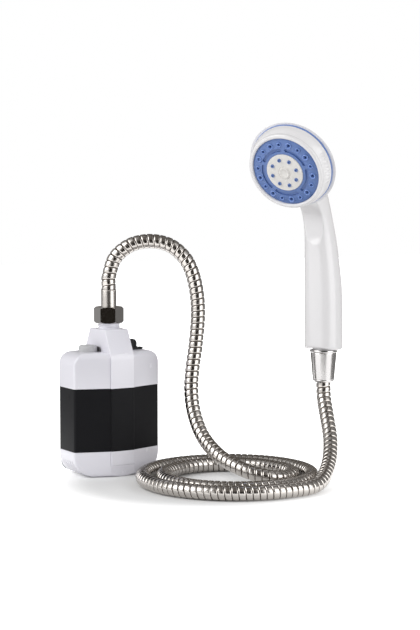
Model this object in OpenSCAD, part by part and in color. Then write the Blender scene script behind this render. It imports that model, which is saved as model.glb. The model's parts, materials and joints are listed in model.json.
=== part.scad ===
// Camp shower pump: a battery pump in a moulded case, a ribbed steel hose that lies in a flat coil,
// and a handset whose spray face turns. Millimetres, +Z up, -Y is the front of the pump.
// The origin is on the floor, under the middle of the pump.

/* [Pump case] */
// Width of the case across its flat ends
case_w = 88; // [84:1:96]
// Height of the case to its shoulders
case_h = 114; // [112:1:124]
// Depth of the case at its middle
case_d = 53.4; // [52.4:0.2:58]
// Depth of the flat end faces
end_d = 32; // [30:1:36]
// Thickness of the case wall
wall = 2.6; // [2.2:0.1:2.8]
// Corner radius of the shoulders, seen from the front
shoulder_r = 12; // [9:1:14]
// Corner radius of the ends at the floor, seen from the front
base_r = 22; // [19:1:24]
// Edge radius along the top of the side panels
top_edge_r = 6; // [4:0.5:7]
// Edge radius along the foot of the side panels
foot_edge_r = 4; // [3:0.5:5]

/* [Centre strap and tower] */
// Width of the raised strap and of the tower
strap_w = 24; // [22:1:28]
// How far the strap stands proud of the case
strap_rise = 1.3; // [0.9:0.1:2]
// Height of the foot of the strap above the floor
strap_foot = 10; // [7:1:16]
// Height of the tower above the shoulders
tower_h = 20.5; // [18:0.5:26]
// Depth of the tower at its top
tower_top_d = 30.5; // [27:0.5:36]
// How far below the shoulders the tower starts to lean in
tower_lean = 4; // [2:0.5:6]

/* [Waist band] */
// Height of the lower edge of the band
band_low = 23.5; // [20:0.5:26]
// Height of the band
band_h = 58; // [50:1:62]
// Thickness of the band
band_t = 0.8; // [0.5:0.1:1]
// Thickness of the gasket between the housings, behind the band
gasket_t = 1; // [0.8:0.1:1.6]

/* [Spout and hose nut] */
// Outside diameter of the spout thread
spout_d = 20.6; // [20:0.1:21]
// Bore of the spout
spout_bore = 12; // [9:0.5:13]
// Height of the spout
spout_h = 10; // [8:0.5:12]
// Height of the thread that shows under the nut
spout_show = 5.2; // [4:0.2:6]
// Size of the hex nut across its flats
nut_af = 24; // [24:0.5:27]
// Height of the hex nut
nut_h = 15; // [13:0.5:18]
// Thickness of the hose washers
washer_t = 1.7; // [1.4:0.1:2.2]
// Outside diameter of the ferrule on the pump end of the hose
ferrule_d = 14.4; // [14:0.2:15.2]
// Height of the top of that ferrule above the nut
ferrule_show = 16.3; // [10:0.1:22]
// Flange diameter of both hose ends
flange_d = 18.4; // [17.4:0.2:18.8]
// Bore through both hose ends
fitting_bore = 6; // [4:0.5:7]

/* [Power button] */
// Distance of the button from the middle of the case
button_x = 22; // [21:0.5:24]
// Diameter of the button
button_d = 17; // [14:0.5:18]
// Height of the button above the shoulder
button_rise = 6.2; // [5:0.2:8]
// Travel of the button
button_travel = 1.5; // [0.8:0.1:1.6]

/* [Charging port] */
// Distance of the port from the middle of the case
port_x = 22; // [21:0.5:24]
// Length of the plug's flange
plug_l = 19; // [17:0.5:20]
// Width of the plug's flange
plug_w = 12; // [10:0.5:14]
// Thickness of the plug's flange
plug_t = 2; // [1.6:0.1:2.6]
// Height of the pull tab above the shoulder
tab_h = 9.7; // [7:0.1:12]

/* [Suction cups] */
// Distance of each cup from the middle of the case
cup_x = 27; // [25:0.5:29]
// Height of the cups above the floor
cup_z = 10; // [9.8:0.1:14]
// Diameter of the rim
cup_d = 19; // [16:0.5:20]
// How far the rim stands off the case
cup_reach = 6.6; // [6.2:0.2:10]

/* [Intake] */
// Number of slots in each curved end
slot_count = 5; // [3:1:5]
// Width of a slot
slot_w = 1.3; // [0.8:0.1:1.8]
// Spacing of the slots
slot_pitch = 4; // [3:0.2:4.4]
// How far below the level the slots start, about the middle of the curve
slot_from = 28; // [20:1:40]
// How far below the level the slots end
slot_to = 65; // [55:1:70]

/* [Pump drive] */
// Room that the motor and the riser pipe leave free across the case
drive_room = 10.2; // [9.8:0.1:14]
// Length of the motor
motor_l = 32; // [26:1:40]
// Diameter of the motor shaft
shaft_d = 2.3; // [2:0.1:3]
// Gap between the rim of the impeller and its chamber
impeller_gap = 0.8; // [0.5:0.1:2]
// Number of impeller blades
blade_count = 6; // [4:1:8]
// Outside diameter of the riser pipe
riser_d = 10; // [8:0.5:10]
// Bore of the riser pipe
riser_bore = 7.4; // [5:0.2:7.6]
// Diameter of a battery cell
cell_d = 18.4; // [14:0.2:18.6]
// Gap between the battery cells and the control board
cell_gap = 4; // [3:0.5:20]

/* [Hose] */
// Outside diameter of the hose over its ribs
hose_d = 13.4; // [12:0.1:14]
// Bore of the hose
hose_bore = 10; // [8:0.2:10.4]
// Depth of the groove between two ribs
rib_depth = 0.9; // [0.4:0.1:1.1]
// Length along the hose of one rib
rib_pitch = 6.9; // [6.8:0.1:9]
// Radius of the coil where the hose runs into it
coil_r = 55; // [50:1:60]
// How far the coil grows in one turn
coil_step = 18.5; // [15.8:0.1:19.5]
// Number of turns of the coil
coil_turns = 1.74; // [1.7:0.01:1.76]

/* [Cone nut] */
// Height of the cone nut
cone_h = 30; // [27:0.5:34]
// Diameter of the cone nut against the handle
cone_top_d = 25; // [24:0.2:28]
// Diameter of the cone nut at the hose
cone_low_d = 19.6; // [18:0.2:22]

/* [Handset] */
// Height of the foot of the handle above the floor
handle_z = 116; // [112:1:122]
// How far the spray face stands forward of the handle
head_reach = 79.5; // [77:0.5:83]
// Height of the middle of the spray face above the foot of the handle
head_rise = 162; // [158:0.5:166]
// How far the spray face looks down
head_tilt = 25.5; // [16:0.5:32]
// Diameter of the head at its widest
head_d = 80; // [76:0.5:86]
// Depth of the domed back of the head
dome_h = 19; // [15:0.5:24]
// Thickness of the head's shell
head_wall = 2.5; // [2:0.1:3]
// Width of the trim ring
trim_t = 1.2; // [0.8:0.1:2]

/* [Spray face] */
// Depth of the selector ring
ring_depth = 14; // [12:0.5:17]
// Diameter of the spray plate
plate_d = 61.4; // [58:0.2:64]
// Diameter of the centre plate
centre_d = 35; // [30:0.5:37]
// Thickness of both plates
plate_t = 2.4; // [2:0.1:3]
// Number of nozzles in the outer row, large and small in turn
nozzle_count = 18; // [12:2:20]
// Number of mist slots
mist_count = 5; // [3:1:6]
// Number of nozzles in the centre plate
jet_count = 8; // [4:1:10]

/* [Hidden] */
$fn = 64;

// Clearances
fit = 0.1;
slide_gap = 0.3;
over = 1;

// Levels of the case
band_top = band_low + band_h;
split_z = band_low + band_h / 2;
tower_top = case_h + tower_h;
roof = case_h - wall;
ledge = 2;
deck_z = 26;
deck_t = 3;
deck_top = deck_z + deck_t;
chamber_floor = wall + ledge;

// Side panels: the skew slabs that the case is cut from
panel_angle = atan((case_d - end_d) / (case_w - strap_w));
slab_half = case_w / 2 * sin(panel_angle) + end_d / 2 * cos(panel_angle);
function panel_y(x) = end_d / 2 + (case_w / 2 - x) * tan(panel_angle);

// Drive, on the middle plane of the case
volute_wall = 1.8;
volute_floor = 2;
volute_low = 8;
drive_front = 4;
motor_d = case_d - 2 * chamber_floor - riser_d - drive_room;
motor_y = -(case_d / 2 - chamber_floor - motor_d / 2 - drive_front);
volute_r = motor_d / 2 + 0.8;
chamber_r = volute_r - volute_wall;
impeller_d = 2 * (chamber_r - impeller_gap);
impeller_low = volute_low + volute_floor + 1.2;
riser_y = motor_y + motor_d / 2 + riser_d / 2 + 0.5;
riser_seat = 20;
riser_top = case_h - 2;
cup_floor = 2;
cup_wall = 1.6;
cup_h = 9;
cell_margin = 3.6;
cell_x = case_w / 2 - wall - cell_margin - cup_wall - cell_d / 2;
boss_r = 3;
boss_gap = 0.9;
screw_x = 17;
screw_y = panel_y(screw_x) - chamber_floor - boss_r - boss_gap;
screw_r = 1.2;
screw_l = 11;
screw_head_t = 1.6;
filter_t = 6;
filter_x = case_w / 2 - base_r + 4;

// Control board, hung from bosses under the roof
board_drop = 11.4;
board_t = 1.6;
board_z = roof - board_drop;
board_top = board_z + board_t;
board_half = case_w / 2 - 8;
board_boss_x = strap_w / 2 - boss_r;
board_screw_r = 0.95;
board_head_t = 1.2;
cell_l = board_z - cell_gap - deck_top - cup_floor;

// Button and switch
flange_t = 1.6;
button_low = roof - slide_gap - flange_t;
switch_h = 2;
plunger_h = 1;
switch_top = board_top + switch_h + plunger_h;

// Indicator lens, in the corner between the button and the tower
lens_t = 2;
lens_w = 3.8;
lens_h = 4.7;
lens_y = sqrt(max(0, pow(button_d / 2 + slide_gap, 2) - pow(button_x - strap_w / 2 - lens_t, 2)));

// Charging port
port_l = 11.6;
port_w = 6;
stub_l = 9.4;
stub_w = 5.2;
stub_h = wall + 0.2;
tether_w = 3.2;
hinge_gap = 1.5;
hinge_r = 1;
hinge_x = port_x + plug_l / 2 + hinge_gap;
peg_r = 1.1;
peg_l = 1.2;

// Spout and hose nut
spout_top = tower_top + spout_h;
nut_low = tower_top + spout_show;
nut_top = nut_low + nut_h;
flange_z = spout_top + washer_t;
nut_turn = 29;
hose_start = nut_top + ferrule_show;
nipple_gap = 0.8;
nipple_d = hose_bore * cos(22.5) - 2 * nipple_gap;
nipple_l = 4;

// Handset
handset_x = 164;
handset_y = -113;
handset_turn = -60.5;
stub_len = 10;
hose_drop = 22;
hose_end = handle_z - hose_drop;
end_flange_z = -stub_len - washer_t - fit;
screen_t = 1;
lip = 0.6;
dome_r = (head_d * head_d / 4 + dome_h * dome_h) / (2 * dome_h);
shell_z = -ring_depth - trim_t;
trim_d = head_d - 1.6;
ring_cavity_r = head_d / 2 - head_wall - 1.9;
plate_low = -lip - plate_t;
shelf_t = 1.6;
diverter_z = plate_low - 5.4;
diverter_t = 3;
diverter_d = plate_d - 8;
diverter_core_r = centre_d / 2 + 6.5;
seal_z = diverter_z - 2.1;
jet_d = 2.4;
jet_row = centre_d / 2 * 0.69;
nozzle_row = plate_d / 2 * 0.845;
mist_row = (plate_d / 2 + centre_d / 2) / 2 - 2.7;
cap_d = 10;
pivot_d = 3;
ball_d = 3;
detent_row = plate_d / 2 * 0.78;
seal_t = 1.8;
click_angle = 72;
lump_angle = 6;
lump_count = 7;

// Vector helpers
function unit(v) = v / norm(v);

// A smooth curve through hand-placed points, and even steps along it
function curve_point(a, b, c, d, t) =
    (2 * b + (c - a) * t + (2 * a - 5 * b + 4 * c - d) * t * t + (3 * b - a - 3 * c + d) * t * t * t) / 2;
function curve(p, steps) = let (n = len(p)) concat(
    [for (i = [0:n - 2]) let (
        a = i > 0 ? p[i - 1] : 2 * p[0] - p[1],
        d = i < n - 2 ? p[i + 2] : 2 * p[n - 1] - p[n - 2])
        for (k = [0:steps - 1]) curve_point(a, p[i], p[i + 1], d, k / steps)],
    [p[n - 1]]);
function lengths(p) = [for (i = 0, s = 0; i < len(p); i = i + 1,
    s = i < len(p) ? s + norm(p[i] - p[i - 1]) : s) s];
function even_points(p, count) = let (
    s = lengths(p),
    n = len(p) - 1,
    x = [for (i = [0:n]) [s[i], p[i][0]]],
    y = [for (i = [0:n]) [s[i], p[i][1]]],
    z = [for (i = [0:n]) [s[i], p[i][2]]])
    [for (i = [0:count]) let (d = s[n] * i / count) [lookup(d, x), lookup(d, y), lookup(d, z)]];
function directions(p) = let (n = len(p) - 1)
    [for (i = [0:n]) unit(p[min(i + 1, n)] - p[max(i - 1, 0)])];
function side_vectors(t, first) = [for (i = 0, v = unit(first - (first * t[0]) * t[0]); i < len(t);
    i = i + 1, v = i < len(t) ? unit(v - (v * t[i]) * t[i]) : v) v];

// The flat coil: a spiral that grows by one step in each turn
hose_r = hose_d / 2;
coil_x = 69.4;
coil_y = -106.5;
coil_from = 10;
function spiral(a) = let (r = coil_r + coil_step * (a - coil_from) / 360)
    [coil_x + r * cos(a), coil_y + r * sin(a), hose_r];
coil_to = coil_from + 360 * coil_turns;
coil_in = unit(spiral(coil_from + 0.5) - spiral(coil_from));
coil_out = unit(spiral(coil_to) - spiral(coil_to - 0.5));
coil_line = [for (i = [0:240]) spiral(coil_from + (coil_to - coil_from) * i / 240)];

// Hand-placed points of the two free stretches, which leave the ferrules in a straight line
lead = 0.4 * hose_d;
arch_points = concat(
    [for (i = [0:2]) [0, 0, hose_start + i * lead]],
    [[4, -2, 197], [10, -6, 206], [20, -12, 213], [34, -20, 215.5], [48, -29, 212], [59, -35.5, 202],
     [66, -39.5, 188], [70, -42, 168], [70.5, -43.5, 146], [67, -45, 119], [63, -46, 97], [60, -49, 78],
     [58.5, -57, 57], [59, -73, 37], [61.5, -100, 22.5], [70, -126, 14], [84, -139.5, 9],
     [98, -142, 7], [111.5, -136.5, hose_r], [121, -125, hose_r]],
    [spiral(coil_from) - hose_d * coil_in, spiral(coil_from)]);
riser_points = concat(
    [spiral(coil_to), spiral(coil_to) + hose_d * coil_out],
    [[107, -187, 8], [122, -175.5, 12.5], [138.8, -158.8, 22], [151.6, -141.9, 37], [158.8, -126, 56],
     [163.2, -115.2, 71]],
    [for (i = [2:-1:0]) [handset_x, handset_y, hose_end - i * lead]]);

arch_line = curve(arch_points, 8);
riser_line = curve(riser_points, 8);
function rib_count(line) = round(lengths(line)[len(line) - 1] / rib_pitch);
hose_length = lengths(arch_line)[len(arch_line) - 1] + lengths(coil_line)[len(coil_line) - 1]
    + lengths(riser_line)[len(riser_line) - 1];

// Least gap of the hose to itself, over every pair of points that lie well apart along it
whole_line = concat(even_points(arch_line, 60), even_points(coil_line, 100), even_points(riser_line, 24));
whole_s = lengths(whole_line);
least_gap = min([for (i = [0:len(whole_line) - 1]) for (j = [i + 1:len(whole_line) - 1])
    if (whole_s[j] - whole_s[i] > 4 * hose_d) norm(whole_line[i] - whole_line[j]) - hose_d]);
echo(hose_length = hose_length, least_gap = least_gap,
    ribs = rib_count(arch_line) + rib_count(coil_line) + rib_count(riser_line));

// Outlines

// A rectangle about the middle, from z0 up to z1, with its own radius for the low and the high corners
module soft_rect(half, z0, z1, low_r, high_r) {
    polygon([[half - low_r, z0], [half, z0 + low_r], [half, z1 - high_r], [half - high_r, z1],
        [high_r - half, z1], [-half, z1 - high_r], [-half, z0 + low_r], [low_r - half, z0]]);
    for (s = [-1, 1]) {
        translate([s * (half - low_r), z0 + low_r]) circle(r = low_r);
        translate([s * (half - high_r), z1 - high_r]) circle(r = high_r);
    }
}

// A round bar with a soft upper edge, to be turned about its axis
module soft_disc_profile(r, h, edge) {
    square([r - edge, h]);
    square([r, h - edge]);
    translate([r - edge, h - edge]) circle(r = edge);
}

module tube(r_out, r_in, h) {
    difference() {
        cylinder(r = r_out, h = h);
        translate([0, 0, -over]) cylinder(r = r_in, h = h + 2 * over);
    }
}

module between(z0, z1) {
    translate([-case_w, -case_w, z0]) cube([2 * case_w, 2 * case_w, z1 - z0]);
}

module on_both_sides() {
    children();
    mirror([1, 0, 0]) children();
}

// The case

module panel_slab(side, inset) {
    rotate([0, 0, side * panel_angle]) rotate([90, 0, 90])
        translate([0, 0, -case_w]) linear_extrude(2 * case_w)
            soft_rect(slab_half - inset, inset, case_h - inset,
                max(foot_edge_r - inset, 0.5), max(top_edge_r - inset, 0.5));
}

module body_form(inset) {
    intersection() {
        panel_slab(1, inset);
        panel_slab(-1, inset);
        rotate([90, 0, 0]) linear_extrude(case_d - 2 * inset, center = true)
            soft_rect(case_w / 2 - inset, inset, case_h - inset, base_r - inset, shoulder_r - inset);
    }
}

module strap_form(inset) {
    y = case_d / 2 + strap_rise - inset;
    t = tower_top_d / 2;
    rotate([90, 0, 90]) linear_extrude(strap_w - 2 * inset, center = true)
        polygon([[-y, strap_foot], [y, strap_foot], [y, case_h - tower_lean], [t, tower_top],
            [-t, tower_top], [-y, case_h - tower_lean]]);
}

module outer_form(inset) {
    body_form(inset);
    strap_form(inset);
}

module intake_slot(y) {
    translate([case_w / 2 - base_r, y, base_r]) rotate([90, 0, 0])
        linear_extrude(slot_w, center = true) intersection() {
            difference() {
                circle(r = base_r + over);
                circle(r = base_r - chamber_floor - over);
            }
            polygon([[0, 0], 2 * base_r * [cos(slot_from), -sin(slot_from)],
                2 * base_r * [cos(slot_to), -sin(slot_to)]]);
        }
}

module at_cup() {
    translate([cup_x, panel_y(cup_x), cup_z]) rotate([-90, 0, 0]) children();
}

module at_deck_screws() {
    on_both_sides() for (y = [-screw_y, screw_y]) translate([screw_x, y, 0]) children();
}

module at_board_screws() {
    on_both_sides() translate([board_boss_x, motor_y, 0]) children();
}

module lower_housing() {
    color("#e9e8ef") difference() {
        union() {
            difference() {
                union() {
                    intersection() {
                        outer_form(0);
                        between(0, band_low);
                    }
                    intersection() {
                        outer_form(band_t);
                        between(band_low, split_z - gasket_t / 2);
                    }
                }
                intersection() {
                    body_form(wall);
                    between(deck_z, case_h);
                }
                intersection() {
                    body_form(chamber_floor);
                    between(0, deck_z);
                }
            }
            at_deck_screws() translate([0, 0, chamber_floor - over])
                cylinder(r = boss_r, h = deck_z - chamber_floor + over);
        }
        at_deck_screws() translate([0, 0, deck_z - screw_l - 2 * over])
            cylinder(r = screw_r + fit, h = screw_l + 3 * over);
        on_both_sides() for (i = [0:slot_count - 1])
            intake_slot((i - (slot_count - 1) / 2) * slot_pitch);
        on_both_sides() at_cup()
            translate([0, 0, -chamber_floor - 4]) cylinder(r = cup_d / 6 + fit, h = chamber_floor + 8);
    }
}

module upper_housing() {
    color("#e9e8ef") difference() {
        union() {
            difference() {
                union() {
                    intersection() {
                        outer_form(0);
                        between(band_top, tower_top);
                    }
                    intersection() {
                        outer_form(band_t);
                        between(split_z + gasket_t / 2, band_top);
                    }
                }
                intersection() {
                    body_form(wall);
                    between(deck_z, case_h);
                }
            }
            translate([0, 0, roof]) cylinder(d = spout_d, h = spout_top - roof);
            translate([0, riser_y, roof - 9]) cylinder(d = riser_d + 4, h = 10);
            at_board_screws() translate([0, 0, board_top])
                cylinder(r = boss_r - 0.4, h = roof - board_top + 0.5);
        }
        // water way: up from the riser pipe, across, and up the spout
        translate([0, riser_y, roof - 10]) cylinder(d = riser_d + 2 * fit, h = riser_top - roof + 10);
        translate([0, riser_y, roof - 10]) cylinder(d = riser_bore, h = 17);
        translate([0, 0, roof + 3.3]) rotate([-90, 0, 0]) cylinder(d = riser_bore, h = riser_y);
        translate([0, 0, roof]) cylinder(d = spout_bore, h = spout_top);
        // button and charging port
        translate([-button_x, 0, roof - over]) cylinder(d = button_d + 2 * slide_gap, h = wall + 2 * over);
        translate([port_x - port_l / 2, -port_w / 2, roof - over]) cube([port_l, port_w, wall + 2 * over]);
        translate([hinge_x + hinge_r, 0, case_h - peg_l - fit]) cylinder(r = peg_r + fit, h = peg_l + over);
        at_board_screws() translate([0, 0, board_top - over])
            cylinder(r = board_screw_r + 0.05, h = 5 * board_head_t + over);
    }
}

module waist_band() {
    color("#202023") intersection() {
        difference() {
            outer_form(0);
            outer_form(band_t);
        }
        between(band_low, band_top);
    }
}

module case_gasket() {
    color("#303030") intersection() {
        difference() {
            outer_form(band_t);
            body_form(wall);
        }
        between(split_z - gasket_t / 2, split_z + gasket_t / 2);
    }
}

// Button, port plug and suction cups

module power_button() {
    color("#b9b9bd") translate([-button_x, 0, 0]) {
        translate([0, 0, button_low]) rotate_extrude()
            soft_disc_profile(button_d / 2, case_h + button_rise - button_low, 2);
        translate([0, 0, button_low]) cylinder(d = button_d + 3, h = flange_t);
        translate([0, 0, switch_top + button_travel + slide_gap])
            cylinder(r = 2.5, h = button_low - switch_top - button_travel - slide_gap + flange_t);
    }
}

module indicator_lens() {
    color("#3a2226") translate([-strap_w / 2 - lens_t, -lens_y - lens_w, case_h])
        cube([lens_t, lens_w, lens_h]);
}

module port_plug() {
    tab_from = port_x - 4;
    tab_to = port_x + 6;
    corner = 4;
    groove_pitch = 2.4;
    color("#1c1c1e") {
        difference() {
            union() {
                translate([port_x - plug_l / 2 + 2, -plug_w / 2, case_h]) cube([plug_l - 2, plug_w, plug_t]);
                translate([port_x - plug_l / 2, -plug_w / 2 + 2, case_h]) cube([plug_l, plug_w - 4, plug_t]);
                for (s = [-1, 1])
                    translate([port_x - plug_l / 2 + 2, s * (plug_w / 2 - 2), case_h])
                        cylinder(r = 2, h = plug_t);
                rotate([90, 0, 0]) linear_extrude(plug_w / 2, center = true) {
                    polygon([[tab_from, case_h + plug_t / 2], [tab_to, case_h + plug_t / 2],
                        [tab_to, case_h + tab_h - corner], [tab_to - corner, case_h + tab_h],
                        [tab_from, case_h + tab_h]]);
                    translate([tab_to - corner, case_h + tab_h - corner]) circle(r = corner);
                }
                translate([port_x - port_l / 2 + 1.4, -stub_w / 2, case_h - stub_h])
                    cube([stub_l, stub_w, stub_h + plug_t / 2]);
            }
            // grip grooves across both faces of the tab
            for (i = [0:2]) for (s = [-1, 1])
                translate([tab_from + groove_pitch * (i + 0.8), s * plug_w / 4, case_h + plug_t + over])
                    cylinder(r = groove_pitch / 4, h = tab_h);
        }
    }
}

module plug_tether() {
    color("#1c1c1e") {
        // barrel that the plug swings on, its pad, and the peg that holds the pad in the roof
        translate([hinge_x, 0, case_h + hinge_r]) rotate([90, 0, 0])
            cylinder(r = hinge_r, h = tether_w, center = true);
        translate([hinge_x, -tether_w / 2, case_h]) cube([2 * hinge_r, tether_w, plug_t - 0.4]);
        translate([hinge_x + hinge_r, 0, case_h - peg_l]) cylinder(r = peg_r, h = peg_l + hinge_r);
    }
}

module suction_cup() {
    r = cup_d / 2;
    neck = cup_d / 6;
    at_cup() rotate_extrude() polygon([[0, -4], [neck, -4], [neck, 1.4], [neck + 1.2, 2.2],
        [r - 1.6, cup_reach - 1.6], [r, cup_reach - 0.5], [r, cup_reach], [r - 0.8, cup_reach],
        [r - 2.6, cup_reach - 1.2], [neck + 0.6, cup_reach - 3], [0, cup_reach - 3.4]]);
}

module left_suction_cup() {
    color("#a9aeb3") mirror([1, 0, 0]) suction_cup();
}

module right_suction_cup() {
    color("#a9aeb3") suction_cup();
}

// Pump drive

module at_motor() {
    translate([0, motor_y, 0]) children();
}

module at_riser() {
    translate([0, riser_y, 0]) children();
}

module pump_deck() {
    color("#8d9094") difference() {
        intersection() {
            body_form(wall + fit);
            between(deck_z, deck_top);
        }
        at_motor() translate([0, 0, deck_z - over]) cylinder(r = 4.5, h = deck_t + 2 * over);
        at_riser() translate([0, 0, deck_z - over]) cylinder(d = riser_d + 2 * fit, h = deck_t + 2 * over);
        at_deck_screws() translate([0, 0, deck_z - over])
            cylinder(r = screw_r + 2 * fit, h = deck_t + 2 * over);
    }
}

module deck_screws() {
    color("#b5b5ba") at_deck_screws() {
        translate([0, 0, deck_z - screw_l]) cylinder(r = screw_r, h = screw_l + deck_t + screw_head_t / 4);
        difference() {
            translate([0, 0, deck_top]) cylinder(r = 2 * screw_r - fit, h = screw_head_t);
            translate([0, 0, deck_top + screw_head_t / 2])
                cylinder(r = screw_r - fit, h = screw_head_t, $fn = 6);
        }
    }
}

module volute() {
    color("#8d9094") difference() {
        union() {
            at_motor() translate([0, 0, volute_low]) cylinder(r = volute_r, h = deck_z - volute_low);
            at_riser() translate([0, 0, volute_low]) cylinder(d = riser_d + 3.2, h = deck_z - volute_low);
        }
        at_motor() {
            translate([0, 0, volute_low + volute_floor])
                cylinder(r = chamber_r, h = deck_z - volute_low - 2 * volute_floor);
            translate([0, 0, volute_low - over]) cylinder(r = chamber_r / 2, h = volute_floor + 2 * over);
            translate([0, 0, deck_z - 3]) cylinder(r = 3.4, h = 3 + over);
            translate([0, 0, riser_seat - 4]) rotate([-90, 0, 0]) cylinder(r = 3, h = riser_y - motor_y);
        }
        at_riser() {
            translate([0, 0, riser_seat - 8]) cylinder(d = riser_bore, h = 8 + over);
            translate([0, 0, riser_seat]) cylinder(d = riser_d + 2 * fit, h = deck_z);
        }
    }
}

module shaft_seal() {
    color("#303030") at_motor() {
        translate([0, 0, deck_z]) tube(4.4, shaft_d / 2 + 0.08, deck_t);
    }
}

module impeller() {
    hub_r = shaft_d / 2 + 2;
    disc_t = 1.6;
    blade_t = 1.2;
    blade_h = deck_z - volute_low - 9;
    color("#d8d8dc") at_motor() translate([0, 0, impeller_low]) difference() {
        union() {
            cylinder(d = impeller_d, h = disc_t);
            cylinder(r = hub_r, h = blade_h + disc_t);
            for (i = [0:blade_count - 1]) rotate([0, 0, 360 * i / blade_count])
                translate([hub_r - blade_t / 2, -blade_t / 2, disc_t / 2])
                    cube([impeller_d / 2 - hub_r, blade_t, blade_h + disc_t / 2]);
        }
        translate([0, 0, -over]) cylinder(d = shaft_d, h = blade_h + 2 * over + disc_t);
    }
}

module motor_shaft() {
    color("#c9c9ce") at_motor() translate([0, 0, impeller_low])
        cylinder(d = shaft_d, h = deck_top + motor_l - volute_low);
}

module motor_can() {
    color("#9a9ca0") at_motor() difference() {
        union() {
            translate([0, 0, deck_top]) cylinder(d = motor_d, h = motor_l - 2);
            translate([0, 0, deck_top]) cylinder(d = motor_d * 0.42, h = motor_l);
        }
        translate([0, 0, deck_top - over]) cylinder(r = shaft_d / 2 + 0.05, h = motor_l + 2 * over);
    }
}

module riser_pipe() {
    color("#d8d8dc") at_riser() translate([0, 0, riser_seat])
        tube(riser_d / 2, riser_bore / 2, riser_top - riser_seat);
}

module battery_cups() {
    color("#5a5c60") on_both_sides() translate([cell_x, 0, deck_top]) difference() {
        cylinder(r = cell_d / 2 + cup_wall, h = cup_h);
        translate([0, 0, cup_floor]) cylinder(r = cell_d / 2 + fit, h = cup_h);
    }
}

module battery_cell() {
    translate([cell_x, 0, deck_top + cup_floor]) {
        cylinder(d = cell_d, h = cell_l - 1.2);
        cylinder(d = cell_d * 0.4, h = cell_l);
    }
}

module left_cell() {
    color("#4a7a5a") mirror([1, 0, 0]) battery_cell();
}

module right_cell() {
    color("#4a7a5a") battery_cell();
}

module control_board() {
    front = motor_y - boss_r - over;
    back = riser_y - riser_d / 2 - over;
    color("#2f6b45") difference() {
        translate([-board_half, front, board_z]) cube([2 * board_half, back - front, board_t]);
        at_board_screws() translate([0, 0, board_z - over])
            cylinder(r = board_screw_r + 0.15, h = board_t + 2 * over);
    }
}

module board_screws() {
    color("#b5b5ba") at_board_screws() {
        translate([0, 0, board_z - board_head_t]) cylinder(r = 2 * board_screw_r, h = board_head_t);
        translate([0, 0, board_z - board_head_t / 2])
            cylinder(r = board_screw_r, h = board_t + 5 * board_head_t);
    }
}

module push_switch() {
    color("#3a3a3c") {
        translate([-button_x - 3.1, -3.1, board_top]) cube([6.2, 6.2, switch_h]);
        translate([-button_x, 0, board_top]) cylinder(r = 1.75, h = switch_h + plunger_h);
    }
}

module charging_socket() {
    h = case_h - stub_h - slide_gap - board_top;
    color("#b5b5ba") translate([port_x, 0, board_top]) difference() {
        translate([-4.5, -1.7, 0]) cube([9, 3.4, h]);
        translate([-4.1, -1.3, 1]) cube([8.2, 2.6, h]);
    }
}

module intake_filters() {
    color("#6f7378") on_both_sides() intersection() {
        body_form(chamber_floor + fit);
        translate([filter_x, -case_d, 0]) cube([filter_t, 2 * case_d, deck_z - slide_gap]);
    }
}

// Hose ends

module spout_washer() {
    color("#303030") translate([0, 0, spout_top]) tube(spout_d / 2 - 0.5, spout_bore / 2, washer_t);
}

module hex_nut() {
    corner = nut_af / cos(30);
    chamfer = 1.6;
    shoulder = flange_z + 2 + slide_gap;
    color("#c4c4c8") difference() {
        intersection() {
            translate([0, 0, nut_low]) rotate([0, 0, nut_turn]) cylinder(d = corner, h = nut_h, $fn = 6);
            union() {
                translate([0, 0, nut_low]) cylinder(d1 = nut_af + 0.4, d2 = corner + 0.2, h = chamfer);
                translate([0, 0, nut_low + chamfer]) cylinder(d = corner + 0.2, h = nut_h - 2 * chamfer);
                translate([0, 0, nut_top - chamfer])
                    cylinder(d1 = corner + 0.2, d2 = nut_af + 0.4, h = chamfer);
            }
        }
        translate([0, 0, nut_low - over]) cylinder(d = spout_d + 2 * fit, h = shoulder - nut_low + over);
        translate([0, 0, nut_low]) cylinder(d = ferrule_d + 2 * fit, h = nut_h + over);
    }
}

module pump_ferrule() {
    color("#c4c4c8") difference() {
        union() {
            translate([0, 0, flange_z]) cylinder(d = flange_d, h = 2);
            translate([0, 0, flange_z]) cylinder(d = ferrule_d, h = hose_start - flange_z);
            translate([0, 0, hose_start - over]) cylinder(d = nipple_d, h = nipple_l + over);
        }
        translate([0, 0, flange_z - over]) cylinder(d = fitting_bore, h = hose_start + nipple_l);
    }
}

module at_handset() {
    translate([handset_x, handset_y, handle_z]) rotate([0, 0, handset_turn]) children();
}

module handset_ferrule() {
    end_z = hose_end - handle_z;
    color("#c4c4c8") at_handset() difference() {
        union() {
            translate([0, 0, end_flange_z - 2]) cylinder(d = flange_d, h = 2);
            translate([0, 0, end_z]) cylinder(d = hose_d, h = end_flange_z - end_z);
            translate([0, 0, end_z - nipple_l]) cylinder(d = nipple_d, h = nipple_l + over);
        }
        translate([0, 0, end_z - nipple_l - over]) cylinder(d = fitting_bore, h = handle_z);
    }
}

module handset_washer() {
    color("#303030") at_handset() translate([0, 0, -stub_len - washer_t])
        tube(spout_d / 2 - 0.5, spout_bore / 2, washer_t);
}

module cone_nut() {
    shoulder = end_flange_z - 2 - slide_gap;
    collar = 2;
    color("#c4c4c8") at_handset() difference() {
        rotate_extrude() polygon([[0, -cone_h], [cone_low_d / 2 - 1, -cone_h], [cone_low_d / 2, -cone_h + 2],
            [cone_top_d / 2 - 0.4, -collar - 0.8], [cone_top_d / 2 - 0.8, -collar - 0.4],
            [cone_top_d / 2 - 0.4, -collar], [cone_top_d / 2, -collar + 0.4], [cone_top_d / 2, 0], [0, 0]]);
        translate([0, 0, shoulder]) cylinder(d = spout_d + 2 * fit, h = cone_h);
        translate([0, 0, -cone_h - over]) cylinder(d = hose_d + 1, h = cone_h);
    }
}

// Ribbed hose: one polyhedron along a line, with two rings to a rib outside and fewer in the bore

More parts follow.
